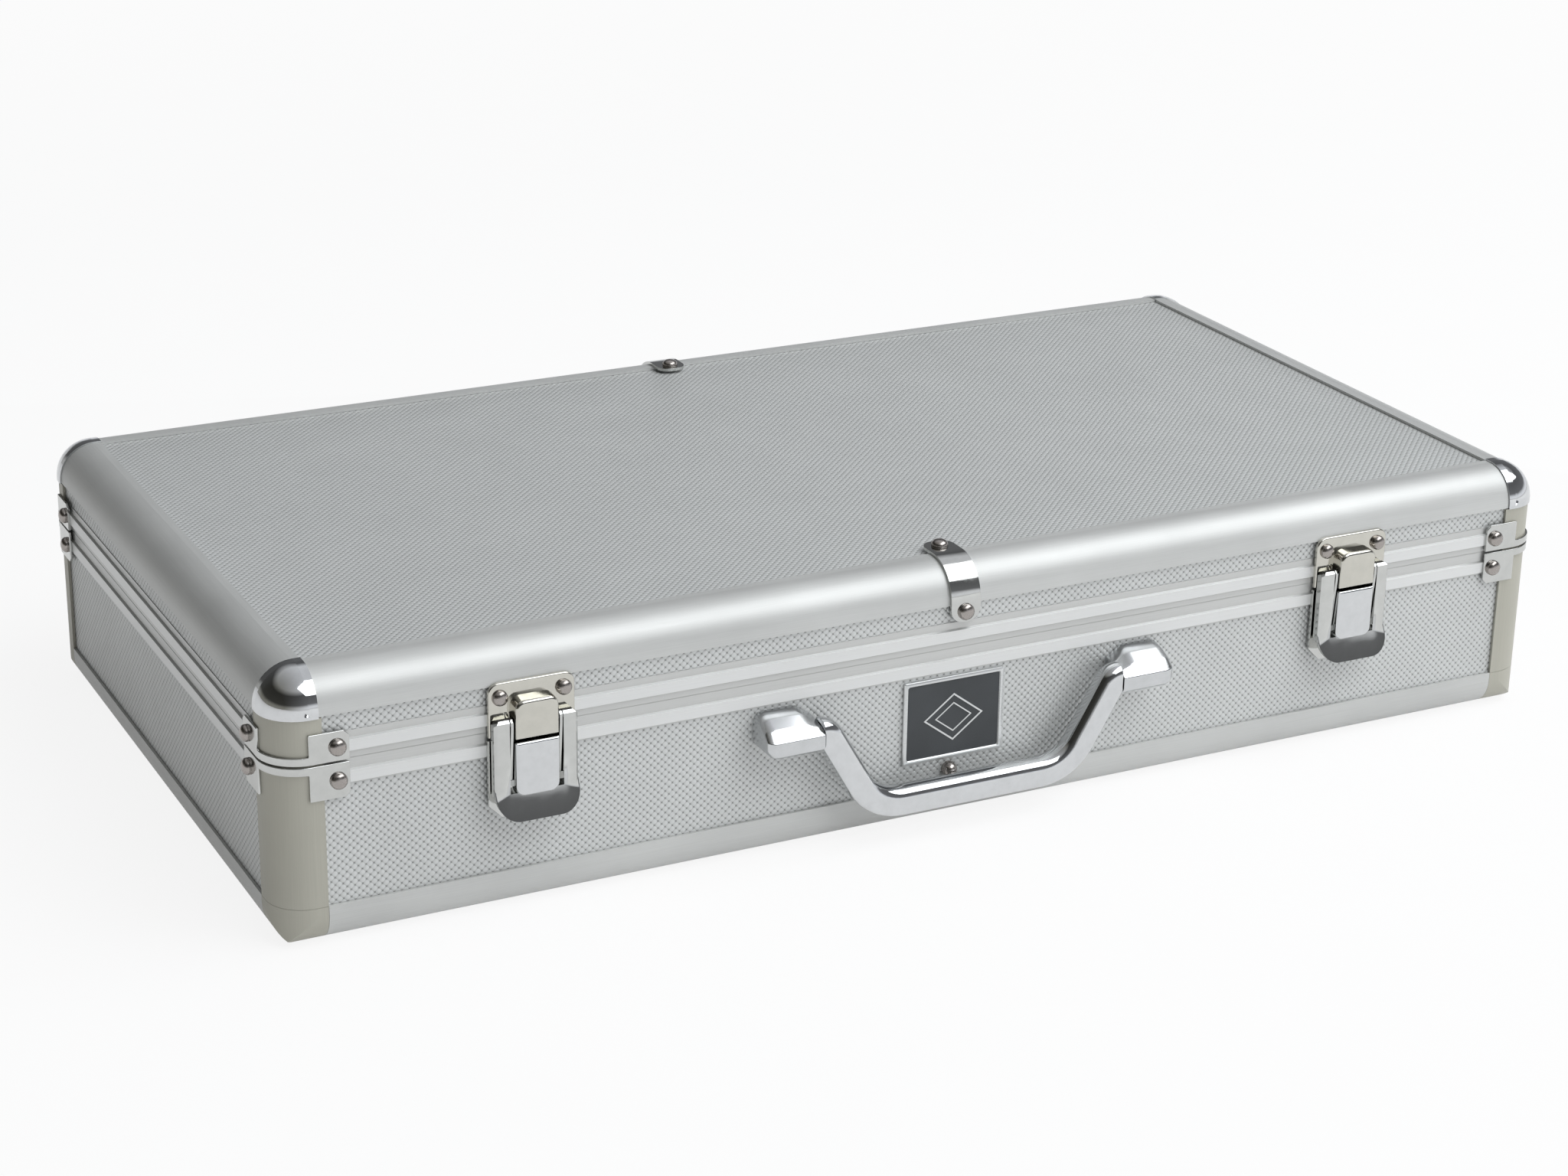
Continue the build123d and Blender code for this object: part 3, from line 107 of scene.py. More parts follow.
class Tree:
    """A material's or the world's node tree; values may be numbers, colours or sockets."""

    def __init__(self, tree):
        self.tree = tree
        tree.nodes.clear()

    def put(self, socket, value):
        if isinstance(value, bpy.types.NodeSocket):
            self.tree.links.new(value, socket)
        else:
            if socket.type == "RGBA" and len(value) == 3:
                value = (*value, 1.0)
            socket.default_value = value

    def node(self, kind, inputs=None, **settings):
        made = self.tree.nodes.new("ShaderNode" + kind)
        for name, value in settings.items():
            setattr(made, name, value)
        for name, value in (inputs or {}).items():
            self.put(made.inputs[name], value)
        return made

    def math(self, operation, a, b=0.0):
        return self.node("Math", {0: a, 1: b}, operation=operation).outputs[0]

    def vector(self, operation, a, b=(0, 0, 0)):
        made = self.node("VectorMath", {0: a}, operation=operation)
        if operation == "SCALE":
            self.put(made.inputs["Scale"], b)
        elif operation != "LENGTH":
            self.put(made.inputs[1], b)
        return made.outputs["Value" if operation == "LENGTH" else "Vector"]

    def place(self):
        """The point on the object, in millimetres."""
        coordinates = self.node("TexCoord").outputs["Object"]
        return self.vector("SCALE", coordinates, 1 / MM)

    def split(self, vector):
        return self.node("SeparateXYZ", {0: vector}).outputs

    def noise(self, vector, scale, detail=3.0, stretch=(1, 1, 1), rough=0.5):
        stretched = self.vector("MULTIPLY", vector, stretch)
        made = self.node("TexNoise", {"Vector": stretched, "Scale": scale, "Detail": detail,
                                      "Roughness": rough})
        return made.outputs["Fac"]

    def spread(self, value, low, high, out_low=0.0, out_high=1.0):
        """Turns the range from low to high into another, and holds what lies outside."""
        made = self.node("MapRange", {"Value": value, "From Min": low, "From Max": high,
                                      "To Min": out_low, "To Max": out_high})
        return made.outputs["Result"]

    def blend(self, share, a, b):
        made = self.node("Mix", data_type="RGBA")
        self.put(made.inputs[MIX_SHARE], share)
        self.put(made.inputs[MIX_A], a)
        self.put(made.inputs[MIX_B], b)
        return made.outputs[MIX_RESULT]

    def bump(self, height, distance, strength=1.0, under=None):
        inputs = {"Height": height, "Distance": distance * MM, "Strength": strength}
        if under is not None:
            inputs["Normal"] = under
        return self.node("Bump", inputs).outputs["Normal"]

    def surface(self, shader_inputs):
        shader = self.node("BsdfPrincipled", shader_inputs)
        self.node("OutputMaterial", {"Surface": shader.outputs[0]})


def material(name, build):
    made = bpy.data.materials.new(name)
    made.use_nodes = True
    build(Tree(made.node_tree))
    return made


def toned(colour, factor):
    """A colour made darker or lighter."""
    return tuple(min(1.0, factor * c) for c in colour)


def drawn(along, share):
    """The stretch that turns noise into lines along one axis."""
    stretch = [1.0, 1.0, 1.0]
    stretch[along] = share
    return stretch


# --- materials ---
PEARL_PITCH = 2.82  # of two square grids of pearls, one set midway in the other
PEARL_R = 1.14
PEARL_RISE = 0.26
# painted shade: below this level a pearl's colour darkens, down to the hollows' full shade at the
# same level below zero
PEARL_EDGE = 0.40  # level of the dome at which its full colour begins
PEARL_BASE = -0.3  # level below which the sheet between the pearls is flat
KNURL_LIGHT = (0.60, 0.61, 0.605)
# painted shade of the hollows between the pearls
KNURL_HOLLOW_SHADE = (0.20, 0.205, 0.195)


def knurl(name, across, up):
    """Embossed sheet: a staggered grid of round pearls on the plane of two axes, with painted shade
    in the hollows between them.
    """
    def build(t):
        place = t.place()
        axes = t.split(place)
        flat = t.node("CombineXYZ", {0: axes[across], 1: axes[up]}).outputs[0]
        flat = t.vector("SCALE", flat, 1 / PEARL_PITCH)
        nearest = []
        for shift in (0.0, 0.5):
            cell = t.vector("FRACTION", t.vector("ADD", flat, (shift, shift, 0)))
            nearest.append(t.vector("LENGTH", t.vector("SUBTRACT", cell, (0.5, 0.5, 0))))
        away = t.math("MINIMUM", *nearest)
        share = t.math("MULTIPLY", away, PEARL_PITCH / PEARL_R)
        dome = t.math("SUBTRACT", 1.0, t.math("MULTIPLY", share, share))
        worn = t.noise(place, scale=0.035)
        light = t.blend(worn, toned(KNURL_LIGHT, 0.94), toned(KNURL_LIGHT, 1.06))
        fine = t.noise(place, scale=2.2, detail=2.0)
        rough = t.math("ADD", t.spread(dome, -0.2, 0.6, 0.55, 0.38),
                       t.spread(fine, 0.3, 0.7, -0.04, 0.04))
        relief = t.math("MAXIMUM", dome, PEARL_BASE)
        # painted shade: dark in the hollows, the sheet's own light colour on the pearls' tops
        tone = t.spread(dome, -PEARL_EDGE, PEARL_EDGE)
        t.surface({"Base Color": t.blend(tone, KNURL_HOLLOW_SHADE, light),
                   "Metallic": 0.4, "Roughness": rough,
                   "Normal": t.bump(relief, PEARL_RISE, strength=0.85)})
    return material(name, build)


SATIN = (0.56, 0.565, 0.555)


def satin(name, along, base=SATIN, rough=0.46, metallic=0.45):
    """Satin anodised extrusion: fine draw lines along one axis."""
    def build(t):
        place = t.place()
        lines = t.noise(place, scale=3.2, stretch=drawn(along, 0.012))
        cloud = t.noise(place, scale=0.02)
        shade = t.math("ADD", t.spread(cloud, 0.3, 0.7, -0.35, 0.35),
                       t.spread(lines, 0.3, 0.7, -0.3, 0.3))
        grain = t.noise(place, scale=9.0, detail=2.0)
        relief = t.math("ADD", lines, t.math("MULTIPLY", grain, 0.5))
        tone = t.spread(shade, -0.5, 0.5)
        t.surface({"Base Color": t.blend(tone, toned(base, 0.93), toned(base, 1.05)),
                   "Metallic": metallic,
                   "Roughness": t.spread(lines, 0.25, 0.75, rough - 0.05, rough + 0.06),
                   "Normal": t.bump(relief, 0.012, strength=0.6)})
    return material(name, build)


RAIL_HEIGHTS = [(60.7, 65.0), (72.2, 76.4)]  # the base's rail and the lid's, from foot to top
RAIL_MARGIN = 0.05
# the rails' lighter tones stand for their polish and partly for a painted highlight
RAIL_POLISH_AND_HIGHLIGHT = [(0.66, 0.665, 0.66), (0.74, 0.745, 0.74)]
FLAT_TONES = [(0.50, 0.505, 0.495), (0.62, 0.62, 0.61)]


def closing(name, along):
    """Closing frame: raised rails with duller flats between them; the rails are lighter for their
    polish and partly for a painted highlight.
    """
    def build(t):
        place = t.place()
        z = t.split(place)[2]
        rails = 0.0
        for low, high in RAIL_HEIGHTS:
            inside = t.math("MULTIPLY", t.math("GREATER_THAN", z, low - RAIL_MARGIN),
                            t.math("LESS_THAN", z, high + RAIL_MARGIN))
            rails = t.math("ADD", rails, inside)
        lines = t.noise(place, scale=2.4, detail=4.0, stretch=drawn(along, 0.008), rough=0.65)
        flat, bright = t.blend(lines, *FLAT_TONES), t.blend(lines, *RAIL_POLISH_AND_HIGHLIGHT)
        t.surface({"Base Color": t.blend(rails, flat, bright), "Metallic": 0.55,
                   "Roughness": t.spread(lines, 0.25, 0.75, 0.30, 0.46),
                   "Normal": t.bump(lines, 0.03, strength=0.6)})
    return material(name, build)


def chrome(name, base=(0.60, 0.605, 0.59), rough=(0.06, 0.15), waves=0.10):
    """Plated sheet: slight waviness, smudges and fine scratches."""
    def build(t):
        place = t.place()
        smudge = t.noise(place, scale=0.22, detail=4.0, rough=0.6)
        scratch = t.noise(place, scale=1.6, detail=2.0, stretch=(0.15, 1, 1))
        wave = t.noise(place, scale=0.11, detail=1.0)
        level = t.math("ADD", t.spread(smudge, 0.35, 0.7), t.spread(scratch, 0.62, 0.75, 0.0, 0.25))
        t.surface({"Base Color": t.blend(t.spread(smudge, 0.3, 0.7), base, toned(base, 0.93)),
                   "Metallic": 1.0,
                   "Roughness": t.spread(level, 0.0, 1.2, *rough),
                   "Normal": t.bump(scratch, 0.004, strength=0.4, under=t.bump(wave, waves))})
    return material(name, build)


def metal(name, base, rough, grain=1.2):
    """Plain metal with a faint mottle."""
    def build(t):
        mottle = t.noise(t.place(), scale=grain)
        t.surface({"Base Color": t.blend(mottle, toned(base, 0.85), toned(base, 1.1)),
                   "Metallic": 1.0,
                   "Roughness": t.spread(mottle, 0.3, 0.7, rough - 0.06, rough + 0.08),
                   "Normal": t.bump(mottle, 0.02, strength=0.5)})
    return material(name, build)


def plastic(name, base, rough, grain=6.0, depth=0.03, change=0.12, coat=0.0, sheen=0.0):
    """Moulded or foamed plastic: tone clouds and a fine surface grain."""
    def build(t):
        place = t.place()
        cloud = t.noise(place, scale=0.05)
        fine = t.noise(place, scale=grain, rough=0.6)
        tone = t.spread(t.math("ADD", cloud, fine), 0.7, 1.3)
        t.surface({"Base Color": t.blend(tone, toned(base, 1 - change), toned(base, 1 + change)),
                   "Roughness": t.spread(fine, 0.3, 0.7, rough - 0.06, rough + 0.06),
                   "Coat Weight": coat, "Sheen Weight": sheen,
                   "Normal": t.bump(fine, depth, strength=0.7)})
    return material(name, build)


# across and up, as numbers of axes
KNURL_FRONT = knurl("knurl_front", 0, 2)
KNURL_SIDE = knurl("knurl_side", 1, 2)
KNURL_TOP = knurl("knurl_top", 0, 1)
# axis of the draw lines, colour, roughness and share of metal
SATIN_X = satin("satin_x", 0)
SATIN_Y = satin("satin_y", 1)
SATIN_Z = satin("satin_z", 2, (0.43, 0.42, 0.365))
BARE_BORDER = satin("bare_border", 0, (0.66, 0.67, 0.67), 0.30, 0.8)
FRAME_X = closing("closing_x", 0)
FRAME_Y = closing("closing_y", 1)
# colour, least and most roughness, and depth of the waves
CHROME = chrome("chrome")
CHROME_SMOOTH = chrome("chrome_smooth", (0.67, 0.68, 0.69), (0.05, 0.11), 0.05)
CHROME_CAST = chrome("chrome_cast", (0.64, 0.65, 0.66), (0.20, 0.28), 0.04)
CHROME_WARM = chrome("chrome_warm", (0.62, 0.605, 0.55), (0.07, 0.16), 0.08)
# colour and roughness
# the rivets' dark brownish tone is a painted reflection of the surroundings on the steel's own grey
RIVET_REFLECTION_TINT = metal("rivet_steel_reflection_tint", (0.40, 0.37, 0.35), 0.24)
STEEL = metal("pin_steel", (0.55, 0.55, 0.57), 0.3)
BRASS = metal("brass", (0.78, 0.58, 0.26), 0.24)
# colour, roughness, the grain's scale and depth, change of tone, coat and sheen
BLACK_ENAMEL = plastic("black_enamel", (0.038, 0.042, 0.046), 0.45, 2.5, 0.01, 0.2)
RUBBER = plastic("foot_rubber", (0.03, 0.03, 0.03), 0.75, 3.0, 0.05)
FOAM = plastic("foam_black", (0.028, 0.028, 0.032), 0.9, 2.6, 0.25, 0.3, 0.0, 0.15)
PAD_FOAM = plastic("foam_grey", (0.05, 0.052, 0.058), 0.92, 2.2, 0.3, 0.3, 0.0, 0.2)
TRAY = plastic("tray_black", (0.045, 0.045, 0.05), 0.5, 3.0, 0.06)
IVORY = plastic("tile_ivory", (0.82, 0.76, 0.60), 0.24, 0.6, 0.01, 0.05, 0.3)
GREEN_BACK = plastic("tile_green", (0.03, 0.22, 0.10), 0.24, 0.6, 0.01, 0.08, 0.3)
RACK = plastic("rack_green", (0.035, 0.13, 0.075), 0.3, 0.8, 0.02, 0.12, 0.2)
RED = plastic("wind_red", (0.50, 0.03, 0.03), 0.28, 1.0, 0.01, 0.08, 0.3)
PAINT_RED = plastic("paint_red", (0.55, 0.03, 0.03), 0.35, 2.0, 0.01)
PAINT_GREEN = plastic("paint_green", (0.02, 0.26, 0.10), 0.35, 2.0, 0.01)
PAINT_BLUE = plastic("paint_blue", (0.02, 0.06, 0.30), 0.35, 2.0, 0.01)
BONE = plastic("stick_bone", (0.86, 0.83, 0.74), 0.35, 1.2, 0.01, 0.05)

NODE_MATERIALS = {
    KNURL_FRONT: ["base_front_panel", "base_back_panel", "lid_front_panel", "lid_back_panel"],
    KNURL_SIDE: ["base_side_panels", "lid_side_panels"],
    KNURL_TOP: ["top_panel", "bottom_panel"],
    SATIN_X: ["top_edge_front", "top_edge_back", "bottom_edge_front", "bottom_edge_back"],
    SATIN_Y: ["top_edge_sides", "bottom_edge_sides"],
    SATIN_Z: ["base_corner_posts", "lid_corner_posts", "bottom_corner_caps"],
    FRAME_X: ["base_frame_front", "base_frame_back", "lid_frame_front", "lid_frame_back"],
    FRAME_Y: ["base_frame_sides", "lid_frame_sides"],
    CHROME: ["base_corner_clamps", "lid_corner_clamps", "top_straps", "latch_base_plates",
             "left_latch_lever", "right_latch_lever", "hinge_lower_leaves", "hinge_upper_leaves"],
    CHROME_SMOOTH: ["ball_corners"],
    STEEL: ["latch_pins", "handle_pins", "hinge_pins"],
    TRAY: ["tile_trays", "accessory_tray"],
    RACK: ["racks"],
    BRASS: ["rack_pushers"],
}
for finish, names in NODE_MATERIALS.items():
    for name in names:
        NODES[name].data.materials.clear()
        NODES[name].data.materials.append(finish)

# --- mesh helpers ---
SMOOTH_ANGLE = math.radians(38)
SOFTEN_ANGLE = math.radians(32)
CORNER_REACH = 0.48  # share of a side that the rounding of one corner may take


def finish_piece(name, bm, body, materials, replaces=()):
    """Turns a bmesh in millimetres into a piece that rides on a body."""
    bmesh.ops.scale(bm, vec=(MM, MM, MM), verts=bm.verts)
    bmesh.ops.recalc_face_normals(bm, faces=bm.faces)
    mesh = bpy.data.meshes.new(name)
    bm.to_mesh(mesh)
    bm.free()
    for entry in materials:
        mesh.materials.append(entry)
    mesh.shade_smooth()
    mesh.set_sharp_from_angle(angle=SMOOTH_ANGLE)
    made = add_object(name, mesh)
    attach(made, body)
    if replaces:
        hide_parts(*replaces)
    return made


def stamp_mesh(build):
    """A small mesh to be copied into larger ones."""
    bm = bmesh.new()
    build(bm)
    mesh = bpy.data.meshes.new("stamp")
    bm.to_mesh(mesh)
    bm.free()
    return mesh


def stamp(target, source, matrix):
    """Adds a copy of a small mesh to a bmesh, moved by a matrix."""
    before = len(target.verts)
    target.from_mesh(source)
    target.verts.ensure_lookup_table()
    bmesh.ops.transform(target, matrix=matrix, verts=target.verts[before:])


def rounded_box(bm, low, high, radius, steps=2, paint=0):
    cube = bmesh.ops.create_cube(bm, size=1.0)["verts"]
    low, high = Vector(low), Vector(high)
    bmesh.ops.scale(bm, vec=high - low, verts=cube)
    bmesh.ops.translate(bm, vec=(low + high) / 2, verts=cube)
    edges = list(dict.fromkeys(e for v in cube for e in v.link_edges))
    own = {f for v in cube for f in v.link_faces}
    made = bmesh.ops.bevel(bm, geom=edges, offset=radius, segments=steps, profile=0.5,
                           affect="EDGES", clamp_overlap=True)
    for face in set(made["faces"]) | {f for f in own if f.is_valid}:
        face.material_index = paint


def band(bm, lower, upper, paint=0):
    """Faces between two rings with the same number of points."""
    for i in range(len(lower)):
        j = (i + 1) % len(lower)
        bm.faces.new((lower[i], lower[j], upper[j], upper[i])).material_index = paint


def turned_points(bm, matrix, radius, height, sides):
    """A ring of new points around a turned form's axis."""
    return [bm.verts.new(matrix @ Vector((radius * math.cos(a), radius * math.sin(a), height)))
            for a in (2 * math.pi * i / sides for i in range(sides))]


def lathe(bm, profile, matrix, sides=28, paint=0):
    """Closed turned form; profile holds radius and height, from the foot to a tip on the axis."""
    rings = [turned_points(bm, matrix, radius, height, sides) for radius, height in profile[:-1]]
    tip = bm.verts.new(matrix @ Vector((0, 0, profile[-1][1])))
    bm.faces.new(rings[0][::-1]).material_index = paint
    for lower, upper in zip(rings, rings[1:]):
        band(bm, lower, upper, paint)
    for i in range(sides):
        j = (i + 1) % sides
        bm.faces.new((rings[-1][i], rings[-1][j], tip)).material_index = paint


def turned_ring(bm, profile, matrix, paint, sides=24):
    """Turned form around an open middle."""
    rings = [turned_points(bm, matrix, radius, height, sides) for radius, height in profile]
    for a, b in zip(rings, rings[1:] + rings[:1]):
        band(bm, a, b, paint)


def loft(bm, sections):
    """Skin over rings of points, closed at both ends; gives back the last end's face."""
    rings = [[bm.verts.new(p) for p in ring] for ring in sections]
    bm.faces.new(rings[0][::-1])
    end = bm.faces.new(rings[-1])
    for lower, upper in zip(rings, rings[1:]):
        band(bm, lower, upper)
    return end


def solids(node):
    """Lowest and highest corners of a node's separate solids, in millimetres."""
    bm = bmesh.new()
    bm.from_mesh(NODES[node].data)
    bmesh.ops.remove_doubles(bm, verts=bm.verts, dist=WELD_GAP)
    left, found = set(bm.verts), []
    while left:
        start = left.pop()
        stack, part = [start], [start.co.copy()]
        while stack:
            for edge in stack.pop().link_edges:
                for v in edge.verts:
                    if v in left:
                        left.remove(v)
                        stack.append(v)
                        part.append(v.co.copy())
        low = Vector([min(p[i] for p in part) for i in range(3)]) / MM
        high = Vector([max(p[i] for p in part) for i in range(3)]) / MM
        found.append((low, high))
    bm.free()
    return sorted(found, key=lambda pair: tuple(round(c, 2) for c in (*pair[0], *pair[1])))


def soften(name, width, steps):
    """Rounds the sharp edges of a CAD node with modifiers and shades it by face size."""
    node = NODES[name]
    weld = node.modifiers.new("weld", "WELD")
    weld.merge_threshold = WELD_GAP
    bevel = node.modifiers.new("edges", "BEVEL")
    bevel.limit_method = "ANGLE"
    bevel.angle_limit = SOFTEN_ANGLE
    bevel.width = width * MM
    bevel.segments = steps
    bevel.harden_normals = False
    weighted = node.modifiers.new("shading", "WEIGHTED_NORMAL")
    weighted.keep_sharp = True
    for face in node.data.polygons:
        face.use_smooth = True


def bent_path(points, radii, steps=10):
    """Points and directions along a polyline whose corners are arcs."""
    points = [Vector((x, 0, z)) for x, z in points]
    out = [(points[0], (points[1] - points[0]).normalized())]
    for before, corner, after, radius in zip(points, points[1:], points[2:], radii):
        a, b = (before - corner).normalized(), (after - corner).normalized()
        half = a.angle(b) / 2
        back = radius / math.tan(half)
        centre = corner + (a + b).normalized() * (radius / math.sin(half))
        start, end = corner + a * back - centre, corner + b * back - centre
        sweep = start.angle(end)
        turn = start.cross(end).normalized()
        for i in range(steps + 1):
            arm = Matrix.Rotation(sweep * i / steps, 3, turn) @ start
            out.append((centre + arm, turn.cross(arm).normalized()))
    out.append((points[-1], (points[-1] - points[-2]).normalized()))
    return out


def rounded_rectangle(width, height, radius, steps):
    """Corner-rounded outline, as pairs around its centre."""
    outline = []
    for quarter, (sx, sy) in enumerate(((1, 1), (-1, 1), (-1, -1), (1, -1))):
        cx, cy = sx * (width / 2 - radius), sy * (height / 2 - radius)
        for i in range(steps + 1):
            a = math.radians(90 * quarter + 90 * i / steps)
            outline.append((cx + radius * math.cos(a), cy + radius * math.sin(a)))
    return outline


def rounded_corners(points, radii, steps=5):
    """A closed outline with each corner turned into an arc."""
    points = [Vector(p) for p in points]
    out = []
    for i, (corner, radius) in enumerate(zip(points, radii)):
        before, after = points[i - 1], points[(i + 1) % len(points)]
        a, b = (before - corner).normalized(), (after - corner).normalized()
        half = a.angle(b) / 2
        back = min(radius / math.tan(half), (before - corner).length * CORNER_REACH,
                   (after - corner).length * CORNER_REACH)
        centre = corner + (a + b).normalized() * (back / math.cos(half))
        start, end = corner + a * back - centre, corner + b * back - centre
        sweep = start.angle_signed(end)
        for k in range(steps + 1):
            out.append(centre + Matrix.Rotation(-sweep * k / steps, 2) @ start)
    return out


# --- rivets, studs and feet ---
DOME_STEPS = 9
DOME_FOOT = 0.16  # height of the upright foot, as a share of the head's
DOME_FOOT_R = 0.97  # radius at the very bottom, as a share of the head's
DOME_FULLNESS = 0.85  # below 1 the head is fuller than a ball
FOOT_FLARE = [(1.0, 0.0), (0.985, 0.6)]  # share of the base's radius, and height
FOOT_TAPER = 0.74  # the tip's radius, as a share of the base's
# share of the tip's radius, and height from the tip, down into the screw's recess
FOOT_TIP = [(1.01, -1.3), (0.96, -0.5), (0.82, 0.0), (0.45, 0.0), (0.40, -0.8), (0.0, -0.8)]
FOOT_SIDES = 36


def dome_profile(radius, height):
    """A short upright foot and a full round head."""
    foot = DOME_FOOT * height
    turns = [math.radians(90 * i / DOME_STEPS) for i in range(DOME_STEPS + 1)]
    rise = [(radius * math.cos(a) ** DOME_FULLNESS if i < DOME_STEPS else 0.0,
             foot + (height - foot) * math.sin(a)) for i, a in enumerate(turns)]
    return [(radius * DOME_FOOT_R, 0.0)] + rise


def outward(low, high):
    """The matrix that stands a turned form on the case, its radius and height, from a box."""
    size = high - low
    axis = min(range(3), key=lambda i: size[i])
    middle = (low + high) / 2
    away = 1.0 if middle[axis] > 0 else -1.0
    foot = middle.copy()
    foot[axis] = low[axis] if away > 0 else high[axis]
    direction = Vector((0, 0, 0))
    direction[axis] = away
    turn = direction.to_track_quat("Z", "X").to_matrix().to_4x4()
    across = max(size[i] for i in range(3) if i != axis)
    return Matrix.Translation(foot) @ turn, across / 2, size[axis]


def make_domes(name, node, body):
    """Full round heads in place of a node's plain ones."""
    bm = bmesh.new()
    for low, high in solids(node):
        matrix, radius, height = outward(low, high)
        lathe(bm, dome_profile(radius, height), matrix)
    finish_piece(name, bm, body, [RIVET_REFLECTION_TINT], [node])


def make_feet():
    """Turned rubber feet with a recess for the screw."""
    bm = bmesh.new()
    for low, high in solids("back_feet"):
        matrix, radius, height = outward(low, high)
        tip = radius * FOOT_TAPER
        profile = [(radius * share, rise) for share, rise in FOOT_FLARE]
        profile += [(tip * share, height + rise) for share, rise in FOOT_TIP]
        lathe(bm, profile, matrix, FOOT_SIDES)
    finish_piece("rubber_feet", bm, "base", [RUBBER], ["back_feet"])


# --- handle and badge ---
BAIL_Y = -147.5
BAIL_HALF = (4.5, 5.2)  # across the case's depth, and in the bail's own plane
BAIL_ROUNDS = [1.6, 2.2, 3.2, 4.2]  # outer front, outer back, inner back and inner front
BAIL_STEPS = 6
BAIL_ENDS = [(0.0, 0.96), (0.2, 1.0)]  # distance from an end, and share of the full section
BAIL_PATH = [(-62.7, 50.0), (-60.2, 50.0), (-41.0, 17.0), (41.0, 17.0), (60.2, 50.0), (62.7, 50.0)]
BAIL_KNEE, BAIL_BEND = 4.2, 20.0


def make_bail():
    """The bail: one rounded section swept over its knees, arms and grip."""
    bm = bmesh.new()
    across, wide = BAIL_HALF
    corners = [(-across, -wide), (across, -wide), (across, wide), (-across, wide)]
    outline = rounded_corners(corners, BAIL_ROUNDS, BAIL_STEPS)
    track = bent_path(BAIL_PATH, (BAIL_KNEE, BAIL_BEND, BAIL_BEND, BAIL_KNEE))
    first, last = track[0], track[-1]
    rows = [(first[0] + first[1] * d, first[1], s) for d, s in BAIL_ENDS]
    rows += [(p, d, 1.0) for p, d in track[1:-1]]
    rows += [(last[0] - last[1] * d, last[1], s) for d, s in reversed(BAIL_ENDS)]
    sections = []
    for point, direction, share in rows:
        side = direction.cross(Vector((0, 1, 0)))
        sections.append([point + Vector((0, BAIL_Y + u * share, 0)) + side * v * share
                         for u, v in outline])
    loft(bm, sections)
    finish_piece("handle_grip", bm, "handle", [CHROME_SMOOTH], ["handle_bail"])


BLOCK_SECTION = [(138.3, 58.6), (144.0, 57.2), (148.8, 54.5), (152.5, 50.6), (152.5, 45.55),
                 (151.3, 44.35), (138.3, 44.35)]  # distance forward and height
BLOCK_NOSE = 3  # the section's corner that reaches furthest forward
BLOCK_ROUNDS = [0.5, 4.0, 4.0, 0.7, 1.0, 1.0, 0.3]
BLOCK_SPAN = (63.0, 85.5)  # from the end at the bail to the outer end
BLOCK_CUT = (6.0, 4.0)  # length and height of the slope over the bail's knee
BLOCK_START = [(0.0, 0.25, 1.0), (0.15, 0.1, 1.0), (0.5, 0.0, 0.95)]  # way in, inset, share of fall
BLOCK_SLOPE = [(0.3, 0.75), (0.7, 0.32), (0.9, 0.1), (1.2, 0.0)]  # shares of the cut's two sizes
BLOCK_END = [(4.2, 0.0), (2.6, 0.3), (1.4, 1.0), (0.5, 2.1), (0.08, 3.3), (0.0, 4.2)]  # way, inset
BLOCK_FRONT_INSET = 0.75  # how much of an inset the front takes


def make_blocks():
    """Handle brackets: a flat nose and rounded shoulders, sloped down to the bail's knee."""
    bm = bmesh.new()
    outline = rounded_corners(BLOCK_SECTION, BLOCK_ROUNDS)
    low, high = BLOCK_SECTION[-1][1], BLOCK_SECTION[0][1]
    middle = (low + high) / 2
    inner, outer = BLOCK_SPAN
    cut_l, cut_h = BLOCK_CUT
    rows = [(inner + way, inset, cut_h * fall) for way, inset, fall in BLOCK_START]
    rows += [(inner + cut_l * way, 0.0, cut_h * fall) for way, fall in BLOCK_SLOPE]
    rows += [(outer - way, inset, 0.0) for way, inset in BLOCK_END]
    front = -BLOCK_SECTION[BLOCK_NOSE][0]
    back = -BLOCK_SECTION[0][0]
    for side in (-1, 1):
        sections = []
        for x, inset, fall in rows:
            section = []
            for forward, z in outline:
                y = back + (-forward - back) * (1 - inset * BLOCK_FRONT_INSET / (back - front))
                z = middle + (z - middle) * (1 - inset / (high - middle))
                if z > middle:
                    z = middle + (z - middle) * (1 - fall / (high - middle))
                section.append(Vector((side * x, y, z)))
            sections.append(section)
        loft(bm, sections)
    finish_piece("handle_brackets", bm, "base", [CHROME_CAST], ["handle_blocks"])


BADGE_BORDER = 1.7
BADGE_SUNK = 0.5
BADGE_CHAMFER = 0.35
BADGE_STEP = 0.3  # width of the slope from the border down to the field
BADGE_STEPS = 4
LOZENGES = [(1.0, 0.8), (0.62, 0.6)]  # share of the full size, and width of the line
LOZENGE_HALF = (12.5, 9.5)
LOZENGE_RISE = 0.22
LOZENGE_SIDEWAYS = 1.25  # width of the line along x for one along z


def lozenge(bm, centre, half_x, half_z, width, back, front):
    """The outline of a lozenge, standing on its point."""
    corners = [(1, 0), (0, 1), (-1, 0), (0, -1)]
    rims = []
    for grow, y in ((0, back), (0, front), (-width, front), (-width, back)):
        rims.append([bm.verts.new((centre.x + cx * (half_x + grow * LOZENGE_SIDEWAYS), y,
                                   centre.z + cz * (half_z + grow))) for cx, cz in corners])
    for a, b in zip(rims, rims[1:] + rims[:1]):
        band(bm, a, b)


